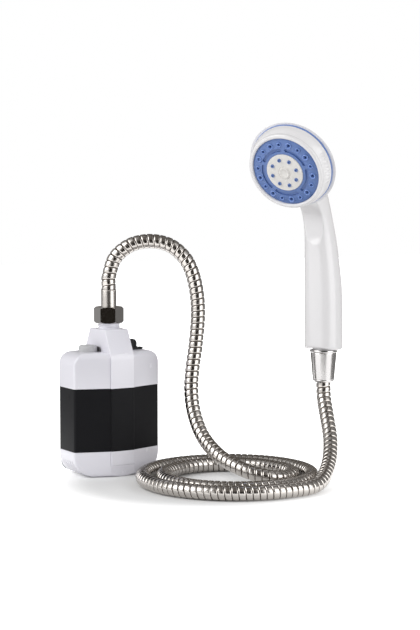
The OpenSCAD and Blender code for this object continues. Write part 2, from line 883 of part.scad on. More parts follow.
sides = 8;
function ring(p, t, v, r) = let (w = cross(t, v))
    [for (k = [0:sides - 1]) p + r * (cos(360 * k / sides) * v + sin(360 * k / sides) * w)];
function band(a, b, flip) = [for (k = [0:sides - 1]) let (n = (k + 1) % sides)
    each flip ? [[a + k, b + n, a + n], [a + k, b + k, b + n]]
        : [[a + k, a + n, b + n], [a + k, b + n, b + k]]];

module ribbed_hose(line, first) {
    ribs = rib_count(line);
    points = even_points(line, 2 * ribs);
    t = directions(points);
    v = side_vectors(t, first);
    n = 2 * ribs;
    outer = [for (i = [0:n]) each ring(points[i], t[i], v[i], i % 2 == 1 ? hose_r : hose_r - rib_depth)];
    bore_at = [for (i = [0:ribs]) if (i % 2 == 0 || i == ribs) 2 * i];
    inner = [for (i = bore_at) each ring(points[i], t[i], v[i], hose_bore / 2)];
    m = len(bore_at) - 1;
    start = sides * (n + 1);
    faces = concat(
        [for (i = [0:n - 1]) each band(sides * i, sides * (i + 1), true)],
        [for (i = [0:m - 1]) each band(start + sides * i, start + sides * (i + 1), false)],
        band(0, start, false),
        band(sides * n, start + sides * m, true));
    polyhedron(concat(outer, inner), faces);
}

module hose_arch() {
    color("#b9b4ae") ribbed_hose(arch_line, [1, 0, 0]);
}

module hose_coil() {
    color("#b9b4ae") ribbed_hose(coil_line, [0, 0, 1]);
}

module hose_riser() {
    color("#b9b4ae") ribbed_hose(riser_line, [0, 0, 1]);
}

// Handset

module at_head() {
    at_handset() translate([0, -head_reach, head_rise]) rotate([90 + head_tilt, 0, 0]) children();
}

// Handle sections: height, how far forward, half width, half depth, lean
handle_sections = [[0, 0, 17, 16.5, 0], [30, 0.5, 16.9, 16.5, 0], [58, 1.7, 16.5, 16, 2],
    [80, 4.5, 15.3, 15, 6], [96, 6.9, 14.2, 14.2, 10], [115, 11.7, 12.9, 13, 16], [130, 19.2, 12.5, 13.2, 20],
    [142, 29.5, 12.8, 14.7, 26], [153, 43, 13, 16, 34], [158, 60.8, 13, 14, 47]];
handle_fit = head_reach / 79.5;
handle_lift = head_rise / 162;
way_bends = [[84, 0], [131, 20.6], [158, 58]];

// Thumb scoop: an arc in front of the neck, and how round it is across
scoop_z = 101;
scoop_forward = 63;
scoop_r = 43;
scoop_round = 40;

module handle_loft() {
    count = 24;
    s = curve(handle_sections, 2);
    n = len(s) - 1;
    power = 0.86;
    points = [for (q = s) for (k = [0:count - 1]) let (
        c = cos(360 * k / count),
        d = sin(360 * k / count),
        across = q[2] * sign(c) * pow(abs(c), power),
        deep = q[3] * sign(d) * pow(abs(d), power))
        [across, -q[1] * handle_fit + deep * cos(q[4]), q[0] * handle_lift + deep * sin(q[4])]];
    walls = [for (i = [0:n - 1]) for (k = [0:count - 1])
        let (a = i * count + k, b = i * count + (k + 1) % count)
        each [[a, b + count, b], [a, a + count, b + count]]];
    polyhedron(points, concat(walls, [[for (k = [0:count - 1]) k]],
        [[for (k = [count - 1:-1:0]) n * count + k]]));
}

// Thumb scoop in the front of the neck
module thumb_scoop() {
    translate([0, -scoop_forward * handle_fit, scoop_z * handle_lift]) rotate([0, 90, 0]) rotate_extrude()
        intersection() {
            translate([scoop_r - scoop_round, 0]) circle(r = scoop_round);
            translate([0, -scoop_r]) square(2 * scoop_r);
        }
}

// Water way from the foot of the handle round the bend into the head
module water_way(r) {
    translate([0, 0, -stub_len - over]) cylinder(r = r, h = stub_len + over + way_bends[0][0] * handle_lift);
    for (i = [0:1]) {
        low = [0, -way_bends[i][1] * handle_fit, way_bends[i][0] * handle_lift];
        high = [0, -way_bends[i + 1][1] * handle_fit, way_bends[i + 1][0] * handle_lift];
        step = r - 0.4 * (i + 1);
        lead = r / 3;
        translate(low) rotate([atan2(low[1] - high[1], high[2] - low[2]), 0, 0])
            translate([0, 0, -lead]) cylinder(r = step, h = norm(high - low) + lead);
    }
}

// Domed back of the head, and with an inset its hollow
module dome(inset) {
    intersection() {
        translate([0, 0, dome_r - dome_h]) sphere(r = dome_r - inset);
        translate([0, 0, -dome_h - over]) cylinder(d = head_d + 4, h = dome_h + 2 * over);
    }
}

module handset_shell() {
    color("#f1f0f1") difference() {
        union() {
            at_handset() {
                difference() {
                    handle_loft();
                    thumb_scoop();
                }
                translate([0, 0, -stub_len]) cylinder(d = spout_d, h = stub_len + over);
            }
            at_head() translate([0, 0, shell_z]) dome(0);
        }
        at_head() translate([0, 0, shell_z]) {
            dome(head_wall);
            cylinder(d = 2 * head_d, h = head_d);
        }
        at_handset() water_way(spout_bore / 2);
    }
}

module inlet_screen() {
    color("#c9c9ce") at_handset() translate([0, 0, -stub_len + 2]) difference() {
        cylinder(r = spout_bore / 2 - fit, h = screen_t);
        for (x = [-1:1]) for (y = [-1:1])
            translate([x * 2.6, y * 2.6, -over]) cylinder(r = 0.9, h = screen_t + 2 * over, $fn = 16);
    }
}

module trim_ring() {
    color("#5a78c4") at_head() translate([0, 0, shell_z])
        tube(trim_d / 2, head_d / 2 - head_wall - 2, trim_t);
}

module selector_ring() {
    r = plate_d / 2;
    out = trim_d / 2 - 0.3;
    back = -ring_depth + slide_gap;
    color("#f1f0f1") at_head() {
        difference() {
            union() {
                rotate_extrude() polygon([[r + 0.2, lip - 0.3], [r + 0.5, lip], [r + 1.6, lip],
                    [r + 2.4, -0.6], [r + 3.2, -2.4], [out - 2, -6.5], [out - 0.7, -9.5], [out, -12.5],
                    [out, back], [r + 0.2, back]]);
                // finger lumps on two sides of the wide end
                for (side = [0, 180]) for (i = [0:lump_count - 1])
                    rotate([0, 0, side + (i - (lump_count - 1) / 2) * lump_angle])
                        translate([out - 1.7, 0, -10]) rotate([0, -16, 0])
                            cylinder(r = 1.3, h = 5, center = true, $fn = 24);
            }
            translate([0, 0, back - over]) cylinder(r = r + fit, h = ring_depth + 2 * over);
            translate([0, 0, back - over]) cylinder(r = ring_cavity_r, h = diverter_z - back + over);
        }
        // inner shelf that carries the spray plate
        translate([0, 0, plate_low - shelf_t]) tube(r + 0.4, r - 2.5, shelf_t);
    }
}

module nozzle_holes(grow, low, high) {
    for (i = [0:nozzle_count - 1]) rotate([0, 0, 360 * i / nozzle_count + 10])
        translate([nozzle_row, 0, low]) cylinder(r = (i % 2 == 0 ? 1.4 : 1) + grow, h = high - low, $fn = 24);
}

module spray_plate() {
    color("#5a78c4") at_head() difference() {
        union() {
            translate([0, 0, plate_low]) tube(plate_d / 2, centre_d / 2 + fit, plate_t);
            nozzle_holes(1, plate_low + 0.5, 0.3);
        }
        nozzle_holes(0, plate_low - over, lip + over);
        // dimples that the detent ball clicks into
        for (a = [0:click_angle:360 - click_angle]) rotate([0, 0, a])
            translate([detent_row, 0, plate_low - ball_d / 2 + 0.2]) sphere(d = ball_d + 0.6);
        for (i = [0:mist_count - 1]) rotate([0, 0, 360 * i / mist_count + 20]) translate([0, 0, -lip - 0.9])
            rotate_extrude(angle = 280 / mist_count) translate([mist_row - 1.1, 0]) square([2.2, 2]);
    }
}

module jets(r, low, high) {
    for (i = [0:jet_count - 1]) rotate([0, 0, 360 * (i + 0.5) / jet_count])
        translate([jet_row, 0, low]) cylinder(r = r, h = high - low, $fn = 24);
}

module centre_plate() {
    color("#f1f0f1") at_head() difference() {
        union() {
            translate([0, 0, plate_low - shelf_t]) cylinder(d = centre_d + 6, h = shelf_t);
            translate([0, 0, plate_low]) cylinder(d = centre_d, h = plate_t + 0.3);
        }
        jets(jet_d / 2 + fit, plate_low - 2 * shelf_t, lip + over);
        translate([0, 0, plate_low - 2 * shelf_t])
            cylinder(r = pivot_d / 2 + 0.08, h = plate_t + 4 * shelf_t);
        translate([0, 0, plate_low + 0.4]) cylinder(r = pivot_d + fit, h = plate_t + over);
    }
}

module centre_nozzles() {
    low = plate_low - shelf_t;
    color("#5a78c4") at_head() difference() {
        jets(jet_d / 2, low, lip);
        jets(0.5, low - over, lip + over);
    }
}

module centre_cap() {
    color("#f1f0f1") at_head() {
        translate([0, 0, 0.3 - lip]) rotate_extrude() soft_disc_profile(cap_d / 2, 0.9, 0.4);
        translate([0, 0, -lip - 0.5]) cylinder(r = pivot_d - fit, h = 1.2);
    }
}

module diverter_disc() {
    color("#8d9094") at_head() difference() {
        union() {
            translate([0, 0, diverter_z]) cylinder(d = diverter_d, h = diverter_t);
            translate([0, 0, shell_z]) cylinder(r = ring_cavity_r - 0.4, h = seal_z - fit - shell_z);
            translate([0, 0, shell_z]) cylinder(r = diverter_core_r, h = diverter_z - shell_z + over);
        }
        for (i = [0:5]) rotate([0, 0, 60 * i + 30])
            translate([jet_row, 0, shell_z - over]) cylinder(r = 2.5, h = ring_depth, $fn = 24);
        translate([detent_row, 0, diverter_z - over])
            cylinder(d = ball_d + 2 * fit, h = diverter_t + 2 * over);
        translate([0, 0, shell_z - over]) cylinder(r = pivot_d / 2, h = ring_depth);
    }
}

module pivot_screw() {
    head_low = plate_low + 0.5;
    color("#b5b5ba") at_head() {
        translate([0, 0, shell_z + over]) cylinder(r = pivot_d / 2, h = head_low + 0.1 - shell_z - over);
        difference() {
            translate([0, 0, head_low]) cylinder(r = pivot_d - 0.2, h = 1.2);
            translate([-pivot_d, -0.35, head_low + 0.7]) cube([2 * pivot_d, 0.7, over]);
        }
    }
}

module detent_ball() {
    color("#c9c9ce") at_head() translate([detent_row, 0, plate_low - slide_gap - ball_d / 2])
        sphere(d = ball_d);
}

module detent_spring() {
    low = seal_z + seal_t + fit;
    color("#c9c9ce") at_head() translate([detent_row, 0, low])
        tube(ball_d / 2 - fit, ball_d / 2 - 0.6, plate_low - slide_gap - ball_d - fit - low);
}

module head_seal() {
    color("#303030") at_head() translate([0, 0, seal_z])
        tube(ring_cavity_r - slide_gap, diverter_core_r + fit, seal_t);
}

lower_housing();
upper_housing();
waist_band();
case_gasket();
power_button();
indicator_lens();
port_plug();
plug_tether();
left_suction_cup();
right_suction_cup();
pump_deck();
deck_screws();
volute();
shaft_seal();
impeller();
motor_shaft();
motor_can();
riser_pipe();
battery_cups();
left_cell();
right_cell();
control_board();
board_screws();
push_switch();
charging_socket();
intake_filters();
spout_washer();
hex_nut();
pump_ferrule();
hose_arch();
hose_coil();
hose_riser();
handset_ferrule();
handset_washer();
cone_nut();
handset_shell();
inlet_screen();
trim_ring();
selector_ring();
spray_plate();
centre_plate();
centre_nozzles();
centre_cap();
diverter_disc();
pivot_screw();
detent_ball();
detent_spring();
head_seal();
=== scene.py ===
# %% [markdown]
# # Camp shower pump
# A small battery pump stands in a bucket and drives water through a ribbed steel hose to a handset.
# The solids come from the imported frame, in metres, and stay where they are. This lesson gives each piece
# its finish, and models again the pieces whose soft edges, ribs and grain a plain solid can't show.

# %% Load the frame
import json
import math

import bmesh
import bpy
from mathutils import Matrix, Vector


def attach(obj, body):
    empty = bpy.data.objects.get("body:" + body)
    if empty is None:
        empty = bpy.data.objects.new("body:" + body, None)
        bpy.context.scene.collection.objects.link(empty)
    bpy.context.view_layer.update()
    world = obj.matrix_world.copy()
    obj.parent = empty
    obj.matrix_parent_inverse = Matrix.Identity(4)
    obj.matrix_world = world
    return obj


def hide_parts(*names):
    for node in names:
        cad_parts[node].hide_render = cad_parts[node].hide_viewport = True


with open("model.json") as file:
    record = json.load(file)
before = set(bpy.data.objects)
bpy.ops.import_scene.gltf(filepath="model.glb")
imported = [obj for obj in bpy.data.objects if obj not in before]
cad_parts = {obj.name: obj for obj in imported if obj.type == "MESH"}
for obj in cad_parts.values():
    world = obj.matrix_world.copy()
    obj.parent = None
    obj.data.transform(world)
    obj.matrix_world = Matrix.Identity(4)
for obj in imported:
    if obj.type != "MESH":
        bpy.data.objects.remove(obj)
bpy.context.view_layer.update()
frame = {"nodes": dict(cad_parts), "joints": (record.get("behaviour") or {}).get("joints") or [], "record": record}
nodes = frame["nodes"]
joints = {joint["name"]: joint for joint in frame["joints"]}
MM = 0.001

# %% [markdown]
# ## Camera
# The photograph was taken with a long lens, a little above the pump and turned to its left, so the pump
# shows its front and its left end. A vertical sensor fit keeps the framing the same in any picture size.

# %% Camera
CAMERA_SPOT = (-0.663, -1.286, 0.258)
CAMERA_HEADING = -31.0
CAMERA_PITCH = -4.4
LENS_MM = 89.1
SENSOR_MM = 36.0

camera_data = bpy.data.cameras.new("photo_camera")
camera_data.sensor_fit = "VERTICAL"
camera_data.sensor_height = SENSOR_MM
camera_data.lens = LENS_MM
camera = bpy.data.objects.new("photo_camera", camera_data)
camera.location = CAMERA_SPOT
camera.rotation_euler = (math.radians(90 + CAMERA_PITCH), 0, math.radians(CAMERA_HEADING))
bpy.context.scene.collection.objects.link(camera)
bpy.context.scene.camera = camera
print("camera", CAMERA_SPOT, "lens", LENS_MM, "mm")

# %% [markdown]
# ## Small helpers
# Most pieces are closed meshes made from rings of points: a turned piece spins one profile about an axis,
# and a lofted piece joins rings of any outline. Both are written in a handy local frame first, and a matrix
# then puts the points where the frame says, so that every object itself stays at the origin.

# %% Mesh helpers
def piece_from(name, points, faces, place=Matrix.Identity(4)):
    """A mesh object at the origin whose points are moved to their place."""
    mesh = bpy.data.meshes.new(name)
    mesh.from_pydata([place @ Vector(p) for p in points], [], faces)
    mesh.validate()
    piece = bpy.data.objects.new(name, mesh)
    bpy.context.scene.collection.objects.link(piece)
    return piece


def soften(piece, sharp_degrees=40):
    """Smooth shading, with the edges sharper than the angle kept crisp."""
    for polygon in piece.data.polygons:
        polygon.use_smooth = True
    piece.data.set_sharp_from_angle(angle=math.radians(sharp_degrees))
    return piece


def tidy_normals(piece):
    """Merges doubles and turns every face outwards."""
    shape = bmesh.new()
    shape.from_mesh(piece.data)
    bmesh.ops.remove_doubles(shape, verts=shape.verts, dist=1e-7)
    bmesh.ops.recalc_face_normals(shape, faces=shape.faces)
    shape.to_mesh(piece.data)
    shape.free()
    return piece


def loft(name, rings, place=Matrix.Identity(4), closed=False):
    """Joins rings of equal point counts; the end rings are capped unless the loft closes on itself."""
    count = len(rings[0])
    points = [p for ring in rings for p in ring]
    faces = []
    for i in range(len(rings) if closed else len(rings) - 1):
        a = i * count
        b = ((i + 1) % len(rings)) * count
        for k in range(count):
            n = (k + 1) % count
            faces.append((a + k, a + n, b + n, b + k))
    if not closed:
        faces.append(tuple(reversed(range(count))))
        faces.append(tuple(range(len(points) - count, len(points))))
    return tidy_normals(piece_from(name, points, faces, place))


def turned(name, profile, place=Matrix.Identity(4), sides=96, closed=False):
    """Spins a profile of (radius, height) points about the local Z axis; radius 0 makes a pole."""
    rings = []
    for radius, height in profile:
        ring = []
        for k in range(sides):
            angle = 2 * math.pi * k / sides
            ring.append((radius * math.cos(angle), radius * math.sin(angle), height))
        rings.append(ring)
    return loft(name, rings, place, closed)


def evaluated_mesh(thing):
    """The plain mesh that an object's modifiers make."""
    bpy.context.view_layer.update()
    return bpy.data.meshes.new_from_object(thing.evaluated_get(bpy.context.evaluated_depsgraph_get()))


def finish_modifiers(piece):
    """Turns what the modifiers make into the piece's own mesh."""
    shaped = evaluated_mesh(piece)
    piece.modifiers.clear()
    piece.data = shaped
    return piece


def arc(centre, radius, start, end, steps):
    """Points of a round stretch of a profile, angles in degrees."""
    points = []
    for i in range(steps + 1):
        angle = math.radians(start + (end - start) * i / steps)
        points.append((centre[0] + radius * math.cos(angle), centre[1] + radius * math.sin(angle)))
    return points


# %% [markdown]
# ## The hose route
# The hose is one length of interlocked steel strip. It leaves the ferrule on the pump, arches over, comes
# down to the floor, lies in a flat spiral and climbs into the cone nut under the handset. The free stretches
# are smooth curves through the same listed points as the solids, and the spiral is a formula.

# %% Hose route
HOSE_DIAMETER = 13.4 * MM
HOSE_START = Vector((0, 0, 171)) * MM
COIL_CENTRE = Vector((69.4, -106.5, 6.7)) * MM
COIL_RADIUS = 55 * MM
COIL_STEP = 18.5 * MM
COIL_FROM = 10
COIL_TURNS = 1.74
COIL_STEPS = 240
HANDSET = Vector(joints["handset_swivel"]["pos_m"])
HOSE_END = HANDSET - Vector((0, 0, 22)) * MM

ARCH_POINTS = [
    (4, -2, 197), (10, -6, 206), (20, -12, 213), (34, -20, 215.5), (48, -29, 212), (59, -35.5, 202),
    (66, -39.5, 188), (70, -42, 168), (70.5, -43.5, 146), (67, -45, 119), (63, -46, 97), (60, -49, 78),
    (58.5, -57, 57), (59, -73, 37), (61.5, -100, 22.5), (70, -126, 14), (84, -139.5, 9),
    (98, -142, 7), (111.5, -136.5, 6.7), (121, -125, 6.7),
]
RISER_POINTS = [
    (107, -187, 8), (122, -175.5, 12.5), (138.8, -158.8, 22), (151.6, -141.9, 37), (158.8, -126, 56),
    (163.2, -115.2, 71),
]


def spiral(degrees):
    """A point of the flat coil, which grows by one step in each turn."""
    radius = COIL_RADIUS + COIL_STEP * (degrees - COIL_FROM) / 360
    angle = math.radians(degrees)
    return COIL_CENTRE + radius * Vector((math.cos(angle), math.sin(angle), 0))


def smooth_route(points, steps=8):
    """A smooth curve that passes through every point."""
    ends = [2 * points[0] - points[1]] + points + [2 * points[-1] - points[-2]]
    route = []
    for i in range(1, len(ends) - 2):
        a, b, c, d = ends[i - 1:i + 3]
        for k in range(steps):
            t = k / steps
            route.append((2 * b + (c - a) * t + (2 * a - 5 * b + 4 * c - d) * t ** 2
                          + (3 * b - a - 3 * c + d) * t ** 3) / 2)
    return route + [points[-1]]


coil_to = COIL_FROM + 360 * COIL_TURNS
coil_in = (spiral(COIL_FROM + 0.5) - spiral(COIL_FROM)).normalized()
coil_out = (spiral(coil_to) - spiral(coil_to - 0.5)).normalized()
lead = Vector((0, 0, 0.4 * HOSE_DIAMETER))
arch = smooth_route([HOSE_START + i * lead for i in range(3)] + [Vector(p) * MM for p in ARCH_POINTS]
                    + [spiral(COIL_FROM) - HOSE_DIAMETER * coil_in, spiral(COIL_FROM)])
coil = [spiral(COIL_FROM + (coil_to - COIL_FROM) * i / COIL_STEPS) for i in range(1, COIL_STEPS)]
riser = smooth_route([spiral(coil_to), spiral(coil_to) + HOSE_DIAMETER * coil_out]
                     + [Vector(p) * MM for p in RISER_POINTS] + [HOSE_END - i * lead for i in (2, 1, 0)])
hose_route = arch + coil + riser

# %% [markdown]
# ## Floor and world
# The picture has a white ground with a soft shadow under the object. The floor is a pale diffuse sheet that
# glows for the camera and in reflections, less near the object, so it is white far out and keeps the shadow.
# Near the object the missing glow also leaves the floor grey where no shadow falls, which is painted shade.
# The world is white to look at and dimmer as a light, so that it doesn't wash out the shade.

# %% Floor and world
FLOOR_SIZE = 8.0
FLOOR_DROP = 0.0002
FLOOR_GREY = 0.84
FLOOR_GLOW = 0.95
# The floor doesn't glow round this point, between the pump and the coil, and glows fully past the far
# distance; the grey left round the point is painted shade
SHADE_MIDDLE = (0.045, -0.085, 0)
SHADE_NEAR = 0.09
SHADE_FAR = 0.165
WORLD_FILL = 0.45


def stage_sheet(name, size, place):
    """A flat sheet for the studio; it isn't attached to any body of the object."""
    x, y = size[0] / 2, size[1] / 2
    sheet = piece_from(name, [(-x, -y, 0), (x, -y, 0), (x, y, 0), (-x, y, 0)], [(0, 1, 2, 3)], place)
    return sheet


def add_node(tree, kind, **settings):
    """A new node with its properties set by name and its input defaults by socket name."""
    node = tree.nodes.new(kind)
    for name, value in settings.items():
        if name in node.bl_rna.properties:
            setattr(node, name, value)
        else:
            node.inputs[name.replace("_", " ")].default_value = value
    return node


def wire(tree, *pairs):
    """Links output sockets to input sockets."""
    for start, end in pairs:
        tree.links.new(start, end)


def number(tree, operation, *values):
    """A math node; each value is a number or a socket. Returns its output."""
    node = add_node(tree, "ShaderNodeMath", operation=operation)
    for socket, value in zip(node.inputs, values):
        if isinstance(value, (int, float)):
            socket.default_value = value
        else:
            wire(tree, (value, socket))
    return node.outputs[0]


def emptied(holder):
    """The node tree of a material or a world, with nothing in it."""
    holder.use_nodes = True
    holder.node_tree.nodes.clear()
    return holder.node_tree


def seen_rays(tree):
    """1 for the rays of the camera, of reflections and of glass, and 0 for light that falls on things."""
    path = add_node(tree, "ShaderNodeLightPath")
    seen = number(tree, "MAXIMUM", path.outputs["Is Camera Ray"], path.outputs["Is Glossy Ray"])
    return number(tree, "MAXIMUM", seen, path.outputs["Is Transmission Ray"])


floor = stage_sheet("floor", (FLOOR_SIZE, FLOOR_SIZE), Matrix.Translation((0, 0, -FLOOR_DROP)))
floor_paint = bpy.data.materials.new("floor_white")
tree = emptied(floor_paint)
diffuse = add_node(tree, "ShaderNodeBsdfDiffuse", Color=(FLOOR_GREY, FLOOR_GREY, FLOOR_GREY, 1))
glow = add_node(tree, "ShaderNodeEmission")
coords = add_node(tree, "ShaderNodeTexCoord")
away = add_node(tree, "ShaderNodeVectorMath", operation="DISTANCE")
away.inputs[1].default_value = SHADE_MIDDLE
more = add_node(tree, "ShaderNodeMapRange", interpolation_type="SMOOTHSTEP",
                From_Min=SHADE_NEAR, From_Max=SHADE_FAR, To_Min=0.0, To_Max=FLOOR_GLOW)
both = add_node(tree, "ShaderNodeAddShader")
out = add_node(tree, "ShaderNodeOutputMaterial")
strength = number(tree, "MULTIPLY", seen_rays(tree), more.outputs["Result"])
wire(tree, (coords.outputs["Object"], away.inputs[0]), (away.outputs["Value"], more.inputs["Value"]),
     (strength, glow.inputs["Strength"]), (diffuse.outputs[0], both.inputs[0]),
     (glow.outputs[0], both.inputs[1]), (both.outputs[0], out.inputs["Surface"]))
floor.data.materials.append(floor_paint)

world = bpy.data.worlds.new("white_studio")
bpy.context.scene.world = world
tree = emptied(world)
level = add_node(tree, "ShaderNodeMapRange", To_Min=WORLD_FILL, To_Max=1.0)
sky = add_node(tree, "ShaderNodeBackground", Color=(1, 1, 1, 1))
out = add_node(tree, "ShaderNodeOutputWorld")
wire(tree, (seen_rays(tree), level.inputs["Value"]), (level.outputs["Result"], sky.inputs["Strength"]),
     (sky.outputs[0], out.inputs["Surface"]))
bpy.context.scene.view_settings.view_transform = "Standard"
print("floor", FLOOR_SIZE, "m wide, world fill", WORLD_FILL)

# %% [markdown]
# ## Lamps and reflection tent
# Polished metal needs something dark to reflect. A tent with two wide windows stands round the object, and
# only reflections see it: dark in front, where the camera would be, grey overhead and behind. Three soft
# boxes give the light. The one behind isn't mirrored, because its image would wash out the metal.

# %% Lamps
STAGE_MIDDLE = Vector((0.07, -0.09, 0.13))


def around(heading, distance, height):
    """A spot round the object; heading 0 is towards the camera, positive to the camera's right."""
    angle = math.radians(CAMERA_HEADING + heading)
    return Vector((STAGE_MIDDLE.x + distance * math.sin(angle),
                   STAGE_MIDDLE.y - distance * math.cos(angle), height))


def lamp(name, heading, distance, height, size, watts):
    """A soft box that looks at the object."""
    data = bpy.data.lights.new(name, "AREA")
    data.shape = "RECTANGLE"
    data.size, data.size_y = size
    data.energy = watts
    light = bpy.data.objects.new(name, data)
    spot = around(heading, distance, height)
    turn = (STAGE_MIDDLE - spot).to_track_quat("-Z", "Y").to_matrix().to_4x4()
    light.matrix_world = Matrix.Translation(spot) @ turn
    bpy.context.scene.collection.objects.link(light)
    return light


lamp("key_box", heading=-66, distance=1.5, height=1.1, size=(1.3, 1.3), watts=18)
lamp("fill_box", heading=62, distance=1.7, height=0.5, size=(1.6, 1.6), watts=15.5)
back_box = lamp("back_box", heading=175, distance=1.5, height=0.85, size=(1.4, 0.7), watts=12)
back_box.visible_glossy = False
print("lamps:", [light.name for light in bpy.data.lights])

# %% Reflection tent
TENT_RADIUS = 2.6
TENT_STEP = 6
WEDGE_STEPS = 6
WEDGE_LIFT = 0.0001
WARM_BELOW = 0.3
GREEN_LOSS = 0.6
BLUE_LOSS = 1.2
# Each panel: headings from and to, elevations from and to, in degrees, and its grey level. The gaps are
# windows
TENT_PANELS = [(-22, 32, -6, 30, 0.03), (-34, 36, 30, 90, 0.17), (-180, -140, -6, 90, 0.14),
               (-140, -100, -6, 90, 0.48), (80, 140, -6, 90, 0.28), (140, 180, -6, 90, 0.14),
               (-100, -34, 68, 90, 0.2), (36, 80, 62, 90, 0.17)]
# Headings from and to, distance of the near edge, grey level
TENT_FLOORS = [(-22, 32, 0.36, 0.03), (-180, -140, 0.4, 0.14), (-140, -100, 0.4, 0.48),
               (80, 140, 0.4, 0.28), (140, 180, 0.4, 0.14)]


def grey_paint(level):
    """A plain glow of one grey that lights nothing; the darker ones are warmer."""
    warm = max(0.0, WARM_BELOW - level)
    paint = bpy.data.materials.new("tent_grey")
    tree = emptied(paint)
    colour = (level, level * (1 - GREEN_LOSS * warm), level * (1 - BLUE_LOSS * warm), 1)
    glow = add_node(tree, "ShaderNodeEmission", Color=colour)
    out = add_node(tree, "ShaderNodeOutputMaterial")
    wire(tree, (glow.outputs[0], out.inputs["Surface"]))
    paint.cycles.emission_sampling = "NONE"
    return paint


def tent_panel(name, points, faces, level):
    """A sheet that only reflections see."""
    panel = piece_from(name, points, faces)
    panel.data.materials.append(grey_paint(level))
    panel.visible_camera = False
    panel.visible_diffuse = False
    panel.visible_shadow = False
    panel.visible_transmission = False


def spread_evenly(low, high, steps):
    """Evenly spaced values from low to high."""
    return [low + (high - low) * i / steps for i in range(steps + 1)]


def dome_panel(headings, elevations, level):
    """A part of a sphere round the object between two headings and two elevations."""
    columns = max(1, round((headings[1] - headings[0]) / TENT_STEP))
    rows = max(1, round((elevations[1] - elevations[0]) / TENT_STEP))
    points = []
    for elevation in spread_evenly(*elevations, rows):
        rise = math.radians(elevation)
        for heading in spread_evenly(*headings, columns):
            points.append(around(heading, TENT_RADIUS * math.cos(rise), TENT_RADIUS * math.sin(rise)))
    wide = columns + 1
    faces = [(j * wide + i, j * wide + i + 1, (j + 1) * wide + i + 1, (j + 1) * wide + i)
             for j in range(rows) for i in range(columns)]
    tent_panel("tent_panel", points, faces, level)


def floor_panel(headings, near, level):
    """A wedge of floor, from near the object to the tent's foot."""
    turns = spread_evenly(*headings, WEDGE_STEPS)
    points = [around(heading, distance, WEDGE_LIFT) for distance in (near, TENT_RADIUS) for heading in turns]
    wide = WEDGE_STEPS + 1
    faces = [(i, i + 1, i + wide + 1, i + wide) for i in range(WEDGE_STEPS)]
    tent_panel("tent_floor", points, faces, level)


for left, right, low, high, level in TENT_PANELS:
    dome_panel((left, right), (low, high), level)
for left, right, near, level in TENT_FLOORS:
    floor_panel((left, right), near, level)
print("tent ready:", len(TENT_PANELS) + len(TENT_FLOORS), "panels")

# %% [markdown]
# ## Shared finishes
# Moulded plastic is never a flat colour: the tool leaves a fine grain, the gloss is uneven, and handling
# leaves faint marks. These effects are built once as a node group, and each material sets its grain size.

# %% Shader groups
def new_group(name, inputs, outputs):
    """A shader group with named number sockets; each input has its default value."""
    group = bpy.data.node_groups.new(name, "ShaderNodeTree")
    for socket, value in inputs.items():
        made = group.interface.new_socket(socket, in_out="INPUT", socket_type="NodeSocketFloat")
        made.default_value = value
    for socket in outputs:
        group.interface.new_socket(socket, in_out="OUTPUT", socket_type="NodeSocketFloat")
    return group, add_node(group, "NodeGroupInput"), add_node(group, "NodeGroupOutput")


def moulded_grain_group():
    """Fine tool grain, slow unevenness and faint handling marks, from Object coordinates in metres."""
    sizes = {"Grain size": 0.5, "Wave size": 30.0, "Mark size": 8.0}
    group, given, made = new_group("moulded_grain", sizes, ["Grain", "Wave", "Marks"])
    coords = add_node(group, "ShaderNodeTexCoord")
    for size, output, detail in zip(sizes, ["Grain", "Wave", "Marks"], [2.0, 2.0, 6.0]):
        per_metre = number(group, "DIVIDE", 1 / MM, given.outputs[size])
        noise = add_node(group, "ShaderNodeTexNoise", Detail=detail, Roughness=0.55)
        wire(group, (per_metre, noise.inputs["Scale"]), (coords.outputs["Object"], noise.inputs["Vector"]))
        level = noise.outputs["Fac"]
        if output == "Marks":
            keep = add_node(group, "ShaderNodeMapRange", From_Min=0.56, From_Max=0.72)
            wire(group, (level, keep.inputs["Value"]))
            level = keep.outputs["Result"]
        wire(group, (level, made.inputs[output]))
    return group


moulded_grain = moulded_grain_group()
print("group", moulded_grain.name, "with", len(moulded_grain.nodes), "nodes")

# %% Material makers
def span(tree, value, low, high):
    """Maps a 0 to 1 value onto a range."""
    mapped = add_node(tree, "ShaderNodeMapRange", To_Min=low, To_Max=high)
    wire(tree, (value, mapped.inputs["Value"]))
    return mapped.outputs["Result"]


def tint(tree, mask, low, high):
    """Mixes two colours by a mask; the first is a colour or a socket."""
    mixed = add_node(tree, "ShaderNodeMix", data_type="RGBA")
    ends = [socket for socket in mixed.inputs if socket.type == "RGBA"]
    if isinstance(low, tuple):
        ends[0].default_value = (*low, 1)
    else:
        wire(tree, (low, ends[0]))
    ends[1].default_value = (*high, 1)
    wire(tree, (mask, mixed.inputs[0]))
    return next(socket for socket in mixed.outputs if socket.type == "RGBA")


def moulded_plastic(name, colour, dull, roughness, grain_mm=0.35, grain_depth=0.02, spread=0.08):
    """Plastic or rubber: two close tones, uneven gloss and a grain that catches the light."""
    material = bpy.data.materials.new(name)
    material.use_nodes = True
    tree = material.node_tree
    shader = tree.nodes["Principled BSDF"]
    surface = add_node(tree, "ShaderNodeGroup", node_tree=moulded_grain)
    surface.inputs["Grain size"].default_value = grain_mm
    rough = span(tree, surface.outputs["Marks"], roughness, roughness + spread)
    bump = add_node(tree, "ShaderNodeBump", Strength=0.35, Distance=grain_depth * MM)
    wire(tree, (tint(tree, surface.outputs["Wave"], dull, colour), shader.inputs["Base Color"]),
         (rough, shader.inputs["Roughness"]), (surface.outputs["Grain"], bump.inputs["Height"]),
         (bump.outputs["Normal"], shader.inputs["Normal"]))
    return material


